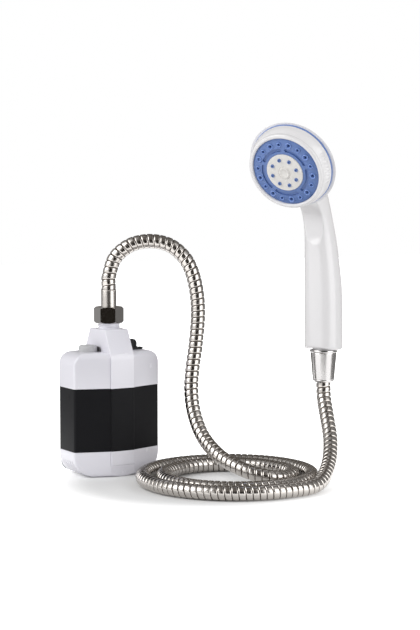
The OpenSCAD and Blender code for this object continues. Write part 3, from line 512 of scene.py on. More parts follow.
def bare_metal(name, colour, dull, roughness, grain_mm=0.25, grain_depth=0.004, spread=0.1):
    """Plated or drawn metal with faint marks in its polish."""
    material = moulded_plastic(name, colour, dull, roughness, grain_mm, grain_depth, spread)
    material.node_tree.nodes["Principled BSDF"].inputs["Metallic"].default_value = 1.0
    return material


def overlay(material, attribute, low, high, colour, roughness):
    """Changes the colour and the gloss where an attribute of the mesh rises from low to high."""
    tree = material.node_tree
    shader = tree.nodes["Principled BSDF"]
    plain = shader.inputs["Base Color"].links[0].from_socket
    gloss = shader.inputs["Roughness"].links[0].from_socket
    mark = add_node(tree, "ShaderNodeAttribute", attribute_name=attribute)
    mask = add_node(tree, "ShaderNodeMapRange", From_Min=low, From_Max=high)
    rough = add_node(tree, "ShaderNodeMix")
    rough.inputs[3].default_value = roughness
    wire(tree, (mark.outputs["Fac"], mask.inputs["Value"]), (mask.outputs["Result"], rough.inputs[0]),
         (gloss, rough.inputs[2]), (rough.outputs[0], shader.inputs["Roughness"]),
         (tint(tree, mask.outputs["Result"], plain, colour), shader.inputs["Base Color"]))
    return material


def shine(material, specular):
    """Sets how strongly a surface mirrors: low for soft rubber, high for polished plastic."""
    material.node_tree.nodes["Principled BSDF"].inputs["Specular IOR Level"].default_value = specular
    return material


# %% Finishes
# Each finish: its colour, a duller tone, roughness, and where they differ from plain ones the grain's size
# and depth in millimetres and how much the roughness varies
PLASTICS = {
    "case_white": ((0.80, 0.79, 0.85), (0.78, 0.77, 0.83), 0.24, 0.3, 0.006, 0.04),
    "band_charcoal": ((0.0085, 0.0085, 0.010), (0.007, 0.007, 0.0085), 0.45, 0.4, 0.02),
    "seal_rubber": ((0.05, 0.05, 0.05), (0.04, 0.04, 0.04), 0.7),
    "button_grey": ((0.52, 0.52, 0.53), (0.47, 0.47, 0.48), 0.55, 0.35, 0.03),
    # lens_dark is a dark grey set to the shade in the gap beside the button, so it is partly painted shade
    "lens_dark": ((0.085, 0.08, 0.085), (0.07, 0.066, 0.07), 0.3),
    "plug_rubber": ((0.012, 0.012, 0.013), (0.009, 0.009, 0.010), 0.5),
    "cup_rubber": ((0.46, 0.48, 0.50), (0.40, 0.42, 0.44), 0.3),
    "inner_plastic": ((0.28, 0.29, 0.30), (0.25, 0.26, 0.27), 0.5),
    "cell_sleeve": ((0.07, 0.2, 0.12), (0.06, 0.17, 0.1), 0.3),
    "board_green": ((0.03, 0.15, 0.07), (0.025, 0.12, 0.06), 0.35),
    "filter_foam": ((0.15, 0.16, 0.17), (0.1, 0.11, 0.12), 0.9, 0.8, 0.4),
    "handset_white": ((0.83, 0.82, 0.83), (0.81, 0.80, 0.81), 0.24, 0.4, 0.003, 0.03),
    "spray_blue": ((0.115, 0.20, 0.47), (0.10, 0.18, 0.43), 0.34),
    "centre_white": ((0.81, 0.79, 0.76), (0.77, 0.75, 0.72), 0.4, 0.3, 0.05),
}
METALS = {
    "plain_steel": ((0.62, 0.62, 0.64), (0.55, 0.55, 0.57), 0.28),
    "fitting_chrome": ((0.64, 0.64, 0.65), (0.58, 0.58, 0.60), 0.12, 0.2, 0.002, 0.06),
    "hose_steel": ((0.58, 0.55, 0.52), (0.52, 0.49, 0.46), 0.2, 0.25, 0.003, 0.08),
}
# Finish, attribute of the mesh, its levels from and to, and the colour and roughness there
OVERLAYS = [
    ("fitting_chrome", "satin", 0.0, 1.0, (0.48, 0.455, 0.43), 0.3),
    ("fitting_chrome", "dark", 0.0, 1.0, (0.45, 0.432, 0.42), 0.12),
    # The hose's grooves are painted dark brown: painted shade in the recess, over the groove's real shadow
    ("hose_steel", "groove", 0.45, 0.7, (0.075, 0.058, 0.046), 0.45),
    # The collar rims get a paler blue, a painted highlight; the trim ring takes half of it as its own paler tone
    ("spray_blue", "rim", 0.0, 1.0, (0.19, 0.31, 0.68), 0.25),
]
SHINE = {"case_white": 0.85, "band_charcoal": 0.1, "plug_rubber": 0.3, "handset_white": 0.75}

FINISHES = {name: moulded_plastic(name, *values) for name, values in PLASTICS.items()}
FINISHES.update({name: bare_metal(name, *values) for name, values in METALS.items()})
for name, *change in OVERLAYS:
    overlay(FINISHES[name], *change)
for name, specular in SHINE.items():
    shine(FINISHES[name], specular)

for part in frame["record"]["subparts"]:
    node = nodes[part["node"]]
    node.data.materials.clear()
    node.data.materials.append(FINISHES[part["material_slot"]])
print(len(FINISHES), "finishes on", len(nodes), "nodes")

# %% [markdown]
# ## Geometry Nodes helpers
# What repeats or follows a path is made by Geometry Nodes: the ribs of the hose, the thread, the knurl, the
# finger lumps and the nozzles. Such trees could be drawn in the editor. Written in code, their sizes stay
# named inputs that can be read and changed here. Each tree ends by making its copies real and setting the
# material, so that a plain mesh is left.

# %% Geometry Nodes helpers
def set_input(modifier, name, value):
    """Sets a Geometry Nodes input by its socket's identifier."""
    for item in modifier.node_group.interface.items_tree:
        if item.name == name and item.in_out == "INPUT":
            modifier[item.identifier] = value
            return
    raise KeyError(name)


def run_tree(thing, tree, values):
    """Gives an object a Geometry Nodes tree and sets its named inputs."""
    maker = thing.modifiers.new("maker", "NODES")
    maker.node_group = tree
    for name, value in values.items():
        set_input(maker, name, value)
    return thing


def geometry_tree(name, **inputs):
    """A Geometry Nodes tree with a geometry, a material and other named inputs, listed by their kind."""
    tree = bpy.data.node_groups.new(name, "GeometryNodeTree")
    tree.interface.new_socket("Geometry", in_out="INPUT", socket_type="NodeSocketGeometry")
    for kind, sockets in {**inputs, "Material": ["Material"]}.items():
        for socket in sockets:
            tree.interface.new_socket(socket, in_out="INPUT", socket_type="NodeSocket" + kind)
    tree.interface.new_socket("Geometry", in_out="OUTPUT", socket_type="NodeSocketGeometry")
    return tree, add_node(tree, "NodeGroupInput"), add_node(tree, "NodeGroupOutput")


def feed(tree, given, *links):
    """Wires named inputs of a tree to the sockets of its nodes."""
    for name, node, socket in links:
        wire(tree, (given.outputs[name], node.inputs[socket]))


def through(tree, geometry, *steps):
    """Passes a geometry through nodes one after the other and returns the last one's output."""
    for node in steps:
        wire(tree, (geometry, node.inputs[0]))
        geometry = node.outputs[0]
    return geometry


def kept(tree, curve, measure):
    """Keeps a measure along a curve on its points; returns the curve and what was kept."""
    along = add_node(tree, "GeometryNodeSplineParameter")
    keep = add_node(tree, "GeometryNodeCaptureAttribute")
    keep.capture_items.new("FLOAT", "measure")
    wire(tree, (curve, keep.inputs["Geometry"]), (along.outputs[measure], keep.inputs[1]))
    return keep.outputs["Geometry"], keep.outputs[1]


def pushed(tree, geometry, amount):
    """Moves each point of a geometry along its normal."""
    normal = add_node(tree, "GeometryNodeInputNormal")
    offset = add_node(tree, "ShaderNodeVectorMath", operation="SCALE")
    move = add_node(tree, "GeometryNodeSetPosition")
    wire(tree, (normal.outputs["Normal"], offset.inputs["Vector"]), (amount, offset.inputs["Scale"]),
         (offset.outputs["Vector"], move.inputs["Offset"]))
    return through(tree, geometry, move)


def end_tree(tree, given, made, geometry):
    """Makes any copies real, gives the mesh its material and hands it out."""
    real = add_node(tree, "GeometryNodeRealizeInstances")
    paint = add_node(tree, "GeometryNodeSetMaterial")
    feed(tree, given, ("Material", paint, "Material"))
    wire(tree, (through(tree, geometry, real, paint), made.inputs["Geometry"]))
    return tree


# %% [markdown]
# ## Ribbed hose
# The hose is wound from a folded steel strip, so its ribs are one long right-handed screw: a wide, nearly
# flat band with a narrow groove between its turns, painted dark brown as shade. Geometry Nodes sweep a
# circle along the route, and then press every point in by where it stands on that screw.

# %% Ribbed hose
RIB_PITCH = 5.65 * MM
RINGS_PER_RIB = 17
HOSE_SIDES = 22
# One turn of the strip: place along the pitch, and depth below the crown in shares of the deepest groove
STRIP_SHAPE = [(0.0, 1.0), (0.04, 0.95), (0.07, 0.4), (0.1, 0.18), (0.16, 0.08), (0.3, 0.02), (0.5, 0.0),
               (0.7, 0.02), (0.84, 0.08), (0.9, 0.18), (0.93, 0.4), (0.96, 0.95), (1.0, 1.0)]
GROOVE_DEPTH = 0.9 * MM
HOSE_INSET = 0.06 * MM


def strip_curve(tree):
    """A float curve with the outline of one turn of the strip."""
    outline = add_node(tree, "ShaderNodeFloatCurve")
    points = outline.mapping.curves[0].points
    while len(points) < len(STRIP_SHAPE):
        points.new(0.5, 0.5)
    for point, (x, y) in zip(points, STRIP_SHAPE):
        point.location = (x, y)
        point.handle_type = "VECTOR"
    outline.mapping.update()
    return outline


def hose_tree():
    """Sweeps a circle along a curve and screws the strip's outline into it."""
    tree, given, made = geometry_tree(
        "ribbed_hose", Float=["Radius", "Pitch", "Depth", "Ring spacing"], Int=["Sides"])
    even = add_node(tree, "GeometryNodeResampleCurve", mode="LENGTH")
    circle = add_node(tree, "GeometryNodeCurvePrimitiveCircle")
    sweep = add_node(tree, "GeometryNodeCurveToMesh", Fill_Caps=True)
    # groove holds the depth share of each point, which the hose finish uses for its painted shade
    groove = add_node(tree, "GeometryNodeStoreNamedAttribute", data_type="FLOAT", domain="POINT",
                      Name="groove")
    smooth = add_node(tree, "GeometryNodeSetShadeSmooth")
    outline = strip_curve(tree)
    feed(tree, given, ("Ring spacing", even, "Length"), ("Sides", circle, "Resolution"),
         ("Radius", circle, "Radius"))
    line, along = kept(tree, through(tree, given.outputs["Geometry"], even), "Length")
    ring, turn = kept(tree, circle.outputs["Curve"], "Factor")
    turns = number(tree, "DIVIDE", along, given.outputs["Pitch"])
    share = number(tree, "FRACT", number(tree, "SUBTRACT", turns, turn))
    wire(tree, (ring, sweep.inputs["Profile Curve"]), (share, outline.inputs["Value"]),
         (outline.outputs[0], groove.inputs["Value"]))
    depth = number(tree, "MULTIPLY", outline.outputs[0], given.outputs["Depth"])
    ribbed = pushed(tree, through(tree, line, sweep, groove), number(tree, "MULTIPLY", depth, -1.0))
    return end_tree(tree, given, made, through(tree, ribbed, smooth))


def curve_through(name, points):
    """A poly curve through the points."""
    data = bpy.data.curves.new(name, "CURVE")
    data.dimensions = "3D"
    line = data.splines.new("POLY")
    line.points.add(len(points) - 1)
    for point, place in zip(line.points, points):
        point.co = (*place, 1)
    guide = bpy.data.objects.new(name, data)
    bpy.context.scene.collection.objects.link(guide)
    return guide


guide = run_tree(curve_through("hose_guide", hose_route), hose_tree(), {
    "Radius": HOSE_DIAMETER / 2 - HOSE_INSET, "Pitch": RIB_PITCH, "Depth": GROOVE_DEPTH,
    "Ring spacing": RIB_PITCH / RINGS_PER_RIB, "Sides": HOSE_SIDES, "Material": FINISHES["hose_steel"]})
hose = bpy.data.objects.new("steel_hose", evaluated_mesh(guide))
bpy.data.objects.remove(guide)
bpy.context.scene.collection.objects.link(hose)
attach(hose, "pump")
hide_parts("hose_arch", "hose_coil", "hose_riser")
print("hose:", len(hose.data.polygons), "faces")

# %% [markdown]
# ## Shaping tools
# The housings start as lofted blocks. Boolean cuts then open the cavity, the holes and the slots, and a
# narrow bevel gives the edges the soft line that catches the light on moulded plastic.

# %% Shaping tools
def carve(piece, tool, operation="DIFFERENCE"):
    """Cuts, joins or overlaps the piece with a tool, which is used up."""
    change = piece.modifiers.new("carve", "BOOLEAN")
    change.operation = operation
    change.solver = "EXACT"
    change.object = tool
    finish_modifiers(piece)
    bpy.data.objects.remove(tool)
    return piece


def bevelled(piece, width, segments=3, degrees=30):
    """Rounds the edges that are sharper than the angle."""
    edge = piece.modifiers.new("edge", "BEVEL")
    edge.width = width * MM
    edge.segments = segments
    edge.limit_method = "ANGLE"
    edge.angle_limit = math.radians(degrees)
    return finish_modifiers(piece)


def rounded(corners, steps=6):
    """A closed outline whose corners (x, y, radius) are turned into arcs."""
    outline = []
    count = len(corners)
    for i, (x, y, radius) in enumerate(corners):
        here = Vector((x, y))
        back = (Vector(corners[i - 1][:2]) - here).normalized()
        ahead = (Vector(corners[(i + 1) % count][:2]) - here).normalized()
        half = back.angle(ahead) / 2
        if radius == 0 or half > math.radians(89.9):
            outline.append((x, y))
            continue
        centre = here + (back + ahead).normalized() * radius / math.sin(half)
        start = here + back * radius / math.tan(half) - centre
        sweep = start.angle_signed(here + ahead * radius / math.tan(half) - centre)
        for k in range(steps + 1):
            turn = Matrix.Rotation(-sweep * k / steps, 2)
            outline.append(tuple(centre + turn @ start))
    return outline


def prism(name, outline, low, high, place=Matrix.Identity(4)):
    """A flat outline pulled up from one height to another."""
    rings = [[(x, y, z) for x, y in outline] for z in (low, high)]
    return loft(name, rings, place)


def mark_all(piece, attribute, level):
    """Stores one level of an attribute on every point of a piece."""
    marks = piece.data.attributes.new(attribute, "FLOAT", "POINT")
    for mark in marks.data:
        mark.value = level
    return piece


def finished(piece, body, slot, *replaced):
    """Gives the piece its finish and its body, and hides the solids that it stands for."""
    piece.data.materials.clear()
    piece.data.materials.append(FINISHES[slot])
    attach(piece, body)
    if replaced:
        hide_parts(*replaced)
    print(piece.name, len(piece.data.polygons), "faces")
    return piece


# %% [markdown]
# ## Pump case
# Seen from above the case is a long eight-sided shape: two short ends, four slanted panels and two flat
# faces under a raised strap. Each height gets one such ring with rounded corners. The ring draws in near
# the floor and near the shoulders, and the loft through all the rings is the moulded body.

# %% Case sizes
CASE_W = 88.0
CASE_H = 114.0
CASE_D = 53.4
END_D = 32.0
STRAP_W = 24.0
STRAP_RISE = 1.3
STRAP_FOOT = 10.0
TOWER_TOP = 134.5
TOWER_TOP_D = 30.5
LEAN_FROM = 110.0
BASE_R = 20.0
SHOULDER_R = 12.0
FOOT_R = 4.0
TOP_R = 6.0
WALL = 2.6
CORNER_R = 2.6
BAND_LOW = 23.5
BAND_TOP = 81.5
BAND_T = 0.8
BAND_GAP = 0.05
SPLIT = (BAND_LOW + BAND_TOP) / 2
BAND_BACK = 0.25
GASKET_T = 1.0
# Rise and inset of the soft lip of each housing beside the band
LIP = [(0, 0.5), (0.15, 0.2), (0.4, 0.05), (0.7, 0)]
PANEL = math.atan((CASE_D - END_D) / (CASE_W - STRAP_W))
STRAP_SIDE = 1.6
LEAN_BEND = 14
TOWER_EDGE = 1.3
STRAP_EDGE = 0.6
CASE_PLACE = Matrix.Scale(MM, 4)
# Stand a flat outline up: one as seen from the front, the other as seen from the end of the case
FRONT_VIEW = Matrix(((1, 0, 0, 0), (0, 0, 1, 0), (0, 1, 0, 0), (0, 0, 0, 1)))
END_VIEW = Matrix(((0, 0, 1, 0), (1, 0, 0, 0), (0, 1, 0, 0), (0, 0, 0, 1)))


def edge_back(distance, radius):
    """How far a round edge stands back at a distance from its end."""
    if distance >= radius:
        return 0.0
    return radius - math.sqrt(max(radius ** 2 - (radius - distance) ** 2, 0))


def case_ring(z, inset=0.0, depth=0.0):
    """One eight-sided ring of the case; depth is the wall thickness for the inside of the case."""
    low = z - depth
    high = CASE_H - depth - z
    end_back = max(edge_back(low, BASE_R - depth), edge_back(high, SHOULDER_R - depth))
    half = CASE_W / 2 - inset - depth - end_back
    back = inset + depth + max(edge_back(low, max(FOOT_R - depth, 0.5)), edge_back(high, TOP_R - depth))
    flat = CASE_D / 2 - inset - depth - CORNER_R
    slant = (back + CORNER_R) / math.cos(PANEL)
    end_x = half - CORNER_R
    end_y = END_D / 2 + (CASE_W / 2 - end_x) * math.tan(PANEL) - slant
    strap_x = max(CASE_W / 2 - (flat - END_D / 2 + slant) / math.tan(PANEL), 0)
    strap_y = END_D / 2 + (CASE_W / 2 - strap_x) * math.tan(PANEL) - slant
    normal = 90 - math.degrees(PANEL)
    quarter = arc((end_x, end_y), CORNER_R, 0, normal, 8) + arc((strap_x, strap_y), CORNER_R, normal, 90, 4)
    ring = quarter + [(-x, y) for x, y in reversed(quarter)]
    ring += [(-x, -y) for x, y in quarter] + [(x, -y) for x, y in reversed(quarter)]
    return [(x, y, z) for x, y in ring]


def round_heights(flat, end, steps):
    """Heights from the start of a round edge to its end, closer together towards the end."""
    return [flat + (end - flat) * math.sin(math.pi / 2 * i / steps) for i in range(steps + 1)]


def strap_block(name, low, high, inset=0.0):
    """The strap and tower between two heights, with a soft bend where the tower starts to lean."""
    y = CASE_D / 2 + STRAP_RISE - inset
    top = TOWER_TOP_D / 2 - inset
    side = rounded([(-y, STRAP_FOOT, STRAP_SIDE), (y, STRAP_FOOT, STRAP_SIDE), (y, LEAN_FROM, LEAN_BEND),
                    (top, TOWER_TOP, TOWER_EDGE), (-top, TOWER_TOP, TOWER_EDGE), (-y, LEAN_FROM, LEAN_BEND)])
    half = STRAP_W / 2 - inset
    block = bevelled(prism(name, side, -half, half, CASE_PLACE @ END_VIEW), STRAP_EDGE, 4, 50)
    slab = [(-CASE_W, -CASE_W), (CASE_W, -CASE_W), (CASE_W, CASE_W), (-CASE_W, CASE_W)]
    return carve(block, prism("slab", slab, low, high, CASE_PLACE), "INTERSECT")


print("case", CASE_W, "x", CASE_D, "x", CASE_H, "mm, panels turned", round(math.degrees(PANEL), 1), "degrees")

# %% [markdown]
# ## Upper housing
# The upper half of the case is moulded in one with its strap, tower and spout. A subdivided cage could give
# that form too, but its flat panels would swell. Here lofted and turned blocks are joined with booleans, fine
# grooves part the strap from the panels, and a smaller loft hollows the inside.

# %% Upper housing
BUTTON_X = 22.0
BUTTON_R = 8.5
PORT_X = 22.0
PORT_L = 11.6
PORT_W = 6.0
SPOUT_R = 10.3
SPOUT_CORE = SPOUT_R - 0.7
SPOUT_TOP = 144.5
SPOUT_BORE = 6.0
THREAD_PITCH = 2.6
THREAD_BAR = 0.62
THREAD_FOOT = 1.6
THREAD_SHORT = 3.0
SEAM = 0.55
HOLE_DEPTH = 6.0
TOOL_SIDES = 64


def box_tool(x0, x1, y0, y1, z0, z1):
    """A plain block used to cut with."""
    return prism("tool", [(x0, y0), (x1, y0), (x1, y1), (x0, y1)], z0, z1, CASE_PLACE)


def round_tool(x, y, radius, z0, z1):
    """A plain round bar used to cut with."""
    angles = [2 * math.pi * k / TOOL_SIDES for k in range(TOOL_SIDES)]
    outline = [(x + radius * math.cos(a), y + radius * math.sin(a)) for a in angles]
    return prism("tool", outline, z0, z1, CASE_PLACE)


def cut_seams(shell, low, high):
    """A fine groove on each side of the strap, front and back."""
    skin = CASE_D / 2 - SEAM
    for x in (STRAP_W / 2, -STRAP_W / 2 - SEAM):
        for y0, y1 in ((-CASE_D, -skin), (skin, CASE_D)):
            carve(shell, box_tool(x, x + SEAM, y0, y1, low, high))


def upper_housing():
    """The upper shell with its tower, spout and openings."""
    low = SPLIT + GASKET_T / 2
    rings = [case_ring(low, BAND_T + BAND_GAP), case_ring(BAND_TOP, BAND_T + BAND_GAP)]
    rings += [case_ring(BAND_TOP + rise, back) for rise, back in LIP]
    rings += [case_ring(z) for z in round_heights(CASE_H - SHOULDER_R, CASE_H, 16)]
    shell = loft("upper_case", rings, CASE_PLACE)
    carve(shell, strap_block("tower", BAND_TOP, TOWER_TOP + 1), "UNION")
    cut_seams(shell, BAND_TOP - 0.2, CASE_H + 1)
    heights = [low - 1] + round_heights(CASE_H - SHOULDER_R, CASE_H - WALL, 8)
    carve(shell, loft("hollow", [case_ring(z, 0, WALL) for z in heights], CASE_PLACE))
    spout = [(SPOUT_R + 0.6, CASE_H), (SPOUT_R + 0.6, TOWER_TOP), (SPOUT_R + 0.15, TOWER_TOP + 0.45),
             (SPOUT_CORE, TOWER_TOP + 0.6), (SPOUT_CORE, SPOUT_TOP - 0.6),
             (SPOUT_R - 1.3, SPOUT_TOP), (0, SPOUT_TOP), (0, CASE_H)]
    carve(shell, turned("spout", spout, CASE_PLACE), "UNION")
    hole_low = CASE_H - HOLE_DEPTH
    hole_top = CASE_H + 0.5
    half_l = PORT_L / 2
    half_w = PORT_W / 2
    carve(shell, round_tool(0, 0, SPOUT_BORE, hole_low, SPOUT_TOP + 1))
    carve(shell, round_tool(-BUTTON_X, 0, BUTTON_R + 0.3, hole_low, hole_top))
    carve(shell, box_tool(PORT_X - half_l, PORT_X + half_l, -half_w, half_w, hole_low, hole_top))
    return shell


upper_case = soften(upper_housing(), 28)
print("upper case", len(upper_case.data.polygons), "faces before its thread")

# %% [markdown]
# ## Screw thread
# The spout ends in a moulded thread. Geometry Nodes draw a spiral and sweep a small round bar along it, half
# sunk in the spout, so only the crest stands out.

# %% Screw thread
def thread_tree():
    """A spiral swept with a round bar; every size is a named input."""
    tree, given, made = geometry_tree("screw_thread", Float=["Radius", "Height", "Turns", "Bar", "Lift"])
    line = add_node(tree, "GeometryNodeCurveSpiral", Resolution=48)
    bar = add_node(tree, "GeometryNodeCurvePrimitiveCircle", Resolution=10)
    sweep = add_node(tree, "GeometryNodeCurveToMesh", Fill_Caps=True)
    lift = add_node(tree, "ShaderNodeCombineXYZ")
    move = add_node(tree, "GeometryNodeSetPosition")
    smooth = add_node(tree, "GeometryNodeSetShadeSmooth")
    feed(tree, given, ("Radius", line, "Start Radius"), ("Radius", line, "End Radius"),
         ("Height", line, "Height"), ("Turns", line, "Rotations"), ("Bar", bar, "Radius"),
         ("Lift", lift, "Z"))
    wire(tree, (bar.outputs["Curve"], sweep.inputs["Profile Curve"]),
         (lift.outputs["Vector"], move.inputs["Offset"]))
    return end_tree(tree, given, made, through(tree, line.outputs["Curve"], sweep, move, smooth))


def grown(name, tree, values):
    """A mesh piece that a Geometry Nodes tree makes from nothing but its named inputs."""
    seed = bpy.data.objects.new(name, bpy.data.meshes.new(name))
    bpy.context.scene.collection.objects.link(seed)
    return finish_modifiers(run_tree(seed, tree, values))


def joined(piece, *others):
    """Puts the meshes of other pieces into the first one."""
    shape = bmesh.new()
    shape.from_mesh(piece.data)
    for other in others:
        shape.from_mesh(other.data)
        bpy.data.objects.remove(other)
    shape.to_mesh(piece.data)
    shape.free()
    return piece


thread_rise = SPOUT_TOP - TOWER_TOP - THREAD_SHORT
thread = grown("spout_thread", thread_tree(), {
    "Radius": SPOUT_CORE * MM, "Height": thread_rise * MM, "Turns": thread_rise / THREAD_PITCH,
    "Bar": THREAD_BAR * MM, "Lift": (TOWER_TOP + THREAD_FOOT) * MM, "Material": FINISHES["case_white"]})
finished(joined(upper_case, thread), "pump", "case_white", "upper_housing")

# %% [markdown]
# ## Lower housing
# The lower half takes in the water, through slots in the large round at each end. The slots could be a dark
# pattern in the material, but a real cut has its own shade from every side. A thin curved blade follows the
# round and cuts each slot through the wall.

# %% Lower housing
SLOT_COUNT = 5
SLOT_W = 1.0
SLOT_PITCH = 4.6
SLOT_FROM = 15.0
SLOT_TO = 62.0
SLOT_DEPTH = 6
FLOOR_WALL = WALL + 2


def slot_tool(side, y):
    """A thin curved blade that cuts one intake slot through the round end of the case."""
    middle = CASE_W / 2 - BASE_R
    centre = (side * middle, BASE_R)
    blade = arc(centre, BASE_R - SLOT_DEPTH, -SLOT_FROM, -SLOT_TO, 8)
    blade += arc(centre, BASE_R + 1, -SLOT_TO, -SLOT_FROM, 8)
    outline = [(centre[0] + side * (x - centre[0]), z) for x, z in blade]
    return prism("tool", outline, y - SLOT_W / 2, y + SLOT_W / 2, CASE_PLACE @ FRONT_VIEW)


def lower_housing():
    """The lower shell with the foot of the strap and the intake slots."""
    high = SPLIT - GASKET_T / 2
    rings = [case_ring(z) for z in round_heights(BASE_R, 0, 18)[::-1]]
    rings += [case_ring(BAND_LOW - rise, back) for rise, back in reversed(LIP)]
    rings += [case_ring(BAND_LOW, BAND_T + BAND_GAP), case_ring(high, BAND_T + BAND_GAP)]
    shell = loft("lower_case", rings, CASE_PLACE)
    carve(shell, strap_block("strap_foot", STRAP_FOOT - 1, BAND_LOW), "UNION")
    cut_seams(shell, STRAP_FOOT, BAND_LOW + 0.2)
    hollow = [case_ring(z, 0, FLOOR_WALL) for z in round_heights(BASE_R, FLOOR_WALL, 10)[::-1]]
    hollow += [case_ring(BAND_LOW + 2, 0, WALL), case_ring(high + 1, 0, WALL)]
    carve(shell, loft("hollow", hollow, CASE_PLACE))
    for side in (-1, 1):
        for i in range(SLOT_COUNT):
            carve(shell, slot_tool(side, (i - (SLOT_COUNT - 1) / 2) * SLOT_PITCH))
    return shell


finished(soften(lower_housing(), 28), "pump", "case_white", "lower_housing")

# %% [markdown]
# ## Waist band
# A rubbery band hides the joint between the two shells. A strip could be bent round the case, but it would
# have to follow every corner. The band takes the case's own outline instead, drawn in a little, and the same
# outline drawn in further is cut out of it, so its wall is even all round.

# %% Waist band
STRAP_CORNER = 0.9


def band_block(name, inset, low, high):
    """The case and its strap between two heights, drawn in by an inset."""
    block = loft(name, [case_ring(z, inset) for z in (low, high)], CASE_PLACE)
    x = STRAP_W / 2 - inset
    y = CASE_D / 2 + STRAP_RISE - inset
    corners = [(x, -y), (x, y), (-x, y), (-x, -y)]
    strap = rounded([(*corner, STRAP_CORNER) for corner in corners])
    return carve(block, prism("strap", strap, low, high, CASE_PLACE), "UNION")


band = band_block("band", BAND_BACK, BAND_LOW, BAND_TOP)
carve(band, band_block("inside", BAND_T, BAND_LOW - 1, BAND_TOP + 1))
finished(soften(band, 28), "pump", "band_charcoal", "waist_band")

# %% [markdown]
# ## Button, lens, plug and cups
# Small parts show the scale of a model. The button is turned with a soft edge and a low crown. The rubber
# plug is a rounded plate with a grooved pull tab. The suction cups are thin turned shells, open to the back.

# %% Button, lens, plug and cups
CUP_PROFILE = [(0, -4), (3.1, -4), (3.1, 1.2), (3.5, 1.7), (4.4, 2.2), (7.9, 4.7), (9.1, 5.6), (9.5, 6.2),
               (9.5, 6.5), (9.3, 6.6), (8.8, 6.5), (6.9, 5.3), (3.8, 3.6), (0, 3.2)]
CUP_X = 27.0
CUP_Z = 10.0
CUP_Y = END_D / 2 + (CASE_W / 2 - CUP_X) * math.tan(PANEL)
LENS_SIDE = [(-14, CASE_H, 0), (-12.05, CASE_H, 0), (-12.05, 115, 0.3), (-13.4, 118.6, 0.5),
             (-14, 118.6, 0.3)]
LENS_FROM = -7.4
LENS_TO = -3.7
PLUG_PLATE = [(12.5, -6, 2), (31.5, -6, 0.6), (31.5, 6, 0.6), (12.5, 6, 2)]
PLUG_T = 2
TAB_FROM = 18.0
TAB_TO = 28.0
TAB_TOP = 123.7
TAB_HALF = 3
TAB_GROOVES = 3
GROOVE_PITCH = 2.4
GROOVE_R = 0.6
GROOVE_Y = 3.1
STEM_SIDES = (17.6, 27, -2.6, 2.6)
STEM_LOW = 111.2

button_profile = [(0, 106.4), (2.5, 106.4), (2.5, 109.5), (10, 109.5), (10, 111.1), (BUTTON_R, 111.1)]
button_profile += arc((BUTTON_R - 2, 118.0), 2, 0, 80, 8) + [(4, 120.15), (0, 120.2)]
button = turned("button", button_profile, CASE_PLACE @ Matrix.Translation((-BUTTON_X, 0, 0)))
finished(soften(button), "button", "button_grey", "power_button")

# The dark lens fills the gap between the button and the tower; its grey is partly its own and partly painted shade
# of that gap
lens = prism("lens", rounded(LENS_SIDE, 4), LENS_FROM, LENS_TO, CASE_PLACE @ FRONT_VIEW)
finished(soften(bevelled(lens, 0.2, 2)), "pump", "lens_dark", "indicator_lens")

plug = bevelled(prism("plug", rounded(PLUG_PLATE), CASE_H, CASE_H + PLUG_T, CASE_PLACE), 0.4, 3, 50)
tab_side = rounded([(TAB_FROM, CASE_H + 1, 0), (TAB_TO, CASE_H + 1, 0), (TAB_TO, TAB_TOP, 4),
                    (TAB_FROM, TAB_TOP, 0.8)])
tab = bevelled(prism("tab", tab_side, -TAB_HALF, TAB_HALF, CASE_PLACE @ FRONT_VIEW), 0.5, 3, 50)
for i in range(TAB_GROOVES):
    spot = TAB_FROM + GROOVE_PITCH * (i + 0.9)
    for side in (-GROOVE_Y, GROOVE_Y):
        carve(tab, round_tool(spot, side, GROOVE_R, CASE_H + 3, TAB_TOP + 1))
carve(plug, tab, "UNION")
carve(plug, box_tool(*STEM_SIDES, STEM_LOW, CASE_H + 1), "UNION")
finished(soften(plug, 35), "plug", "plug_rubber", "port_plug")

for name, side in (("left", -1), ("right", 1)):
    spot = Matrix.Translation((side * CUP_X, CUP_Y, CUP_Z)) @ Matrix.Rotation(-math.pi / 2, 4, "X")
    cup = turned(name + "_cup", CUP_PROFILE, CASE_PLACE @ spot)
    finished(soften(cup, 50), "pump", "cup_rubber", name + "_suction_cup")

# %% [markdown]
# ## Hose nut and ferrule
# A hex nut is a six-sided bar turned to a cone at both ends, which leaves the curved edge lines that every
# real nut shows. Its plating is darker than the ferrule's. The ferrule is turned and less polished, with a
# rolled lip where it grips the hose.

# %% Hose nut and ferrule
NUT_LOW = 139.7
NUT_TOP = 154.7
NUT_FLATS = 24.0
NUT_TURN = 29.0
NUT_CHAMFER = 1.6
NUT_SHOULDER = 148.5
FERRULE_R = 7.2


def hose_nut():
    """A hex bar with coned ends and a stepped bore."""
    corner = NUT_FLATS / 2 / math.cos(math.pi / 6)
    angles = [math.radians(NUT_TURN + 60 * k) for k in range(6)]
    outline = [(corner * math.cos(a), corner * math.sin(a)) for a in angles]
    nut = prism("nut", outline, NUT_LOW, NUT_TOP, CASE_PLACE)
    flat = NUT_FLATS / 2 + 0.2
    cones = [(0, NUT_LOW), (flat, NUT_LOW), (corner + 0.1, NUT_LOW + NUT_CHAMFER),
             (corner + 0.1, NUT_TOP - NUT_CHAMFER), (flat, NUT_TOP), (0, NUT_TOP)]
    carve(nut, turned("cones", cones, CASE_PLACE, 180), "INTERSECT")
    carve(nut, round_tool(0, 0, SPOUT_R + 0.1, NUT_LOW - 1, NUT_SHOULDER))
    carve(nut, round_tool(0, 0, FERRULE_R + 0.1, NUT_LOW, NUT_TOP + 1))
    return bevelled(nut, 0.4, 2, 20)


finished(mark_all(soften(hose_nut(), 12), "dark", 1.0), "nut", "fitting_chrome", "hex_nut")

